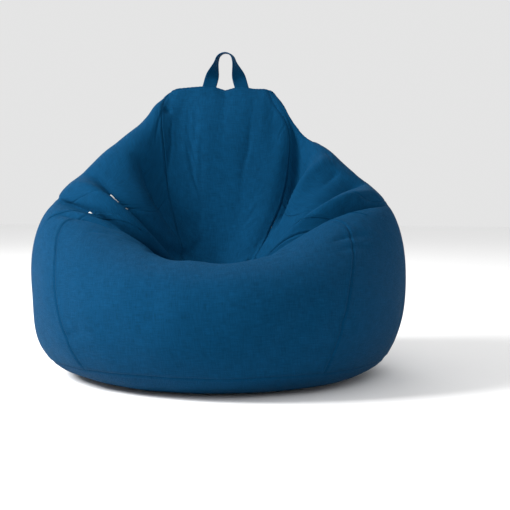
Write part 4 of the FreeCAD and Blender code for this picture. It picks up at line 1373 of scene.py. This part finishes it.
class MakeStage(bpy.types.Operator):
    """Sets the pale floor, the soft lights and the camera."""

    bl_idname = "bean_bag.make_stage"
    bl_label = "Studio"

    def execute(self, context):
        scene = context.scene
        corners = [(x * FLOOR_HALF, y * FLOOR_HALF, FLOOR_LEVEL) for x, y in ((-1, -1), (1, -1), (1, 1), (-1, 1))]
        floor = new_piece("floor", corners, [[0, 1, 2, 3]])
        pale = bpy.data.materials.new("pale_floor")
        tree = node_tree_of(pale)
        principled(tree, Base_Color=(0.86, 0.86, 0.86, 1), Roughness=0.9)
        floor.data.materials.append(pale)
        world = bpy.data.worlds.new("studio")
        scene.world = world
        world.use_nodes = True
        background = world.node_tree.nodes["Background"]
        background.inputs["Color"].default_value = (1, 1, 1, 1)
        background.inputs["Strength"].default_value = 0.78
        for name, place, size, power in (
            ("key_light", (-2.9, -1.1, 2.3), 1.2, 260),
            ("fill_light", (0.6, -3.2, 2.2), 1.6, 30),
            ("back_light", (-0.4, 2.8, 2.4), 2.0, 20),
        ):
            light = bpy.data.lights.new(name, "AREA")
            light.energy, light.size = power, size
            lamp = bpy.data.objects.new(name, light)
            scene.collection.objects.link(lamp)
            lamp.location = place
            lamp.rotation_euler = (Vector((0, 0, 0.35)) - lamp.location).to_track_quat("-Z", "Y").to_euler()
        self.make_camera(scene)
        scene.view_settings.view_transform = "Standard"
        return {"FINISHED"}

    def make_camera(self, scene):
        """A long lens a little above the floor, slightly to the right of the middle."""
        azimuth, elevation, distance, metres_across = math.radians(5.0), math.radians(3.5), 3.4, 510 * 0.00246
        target = Vector((0, 0, 0.36))
        level = math.cos(elevation)
        back = Vector((math.sin(azimuth) * level, -math.cos(azimuth) * level, math.sin(elevation)))
        data = bpy.data.cameras.new("camera")
        data.sensor_width = 36
        data.lens = 36 * distance / metres_across
        data.shift_x, data.shift_y = 0.0716, -0.0556
        camera = bpy.data.objects.new("camera", data)
        scene.collection.objects.link(camera)
        camera.location = target + back * distance
        camera.rotation_euler = (-back).to_track_quat("-Z", "Y").to_euler()
        scene.camera = camera


STEPS = (MakeStage, MakeCover, MakeCarryLoop, MakeCoverZip, MakeTopstitching, MakeLiner, MakeFilling, MakeFittings)


class BagChairPanel(bpy.types.Panel):
    """Lists the chair's sizes and the steps that make it."""

    bl_idname = "VIEW3D_PT_bean_bag"
    bl_label = "Bean Bag Chair"
    bl_space_type = "VIEW_3D"
    bl_region_type = "UI"
    bl_category = "Bean Bag"

    def draw(self, context):
        layout = self.layout
        for name in BagChairSizes.__annotations__:
            layout.prop(context.scene.bean_bag, name)
        for step in STEPS:
            layout.operator(step.bl_idname)


def register():
    """Registers the sizes, the steps and the panel."""
    for part in (BagChairSizes, *STEPS, BagChairPanel):
        bpy.utils.register_class(part)
    bpy.types.Scene.bean_bag = bpy.props.PointerProperty(type=BagChairSizes)


def unregister():
    """Takes them out again."""
    del bpy.types.Scene.bean_bag
    for part in (BagChairPanel, *reversed(STEPS), BagChairSizes):
        bpy.utils.unregister_class(part)


def main():
    """Makes the whole chair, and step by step."""
    register()
    for step in STEPS:
        group, name = step.bl_idname.split(".")
        getattr(getattr(bpy.ops, group), name)()


if __name__ == "__main__":
    main()
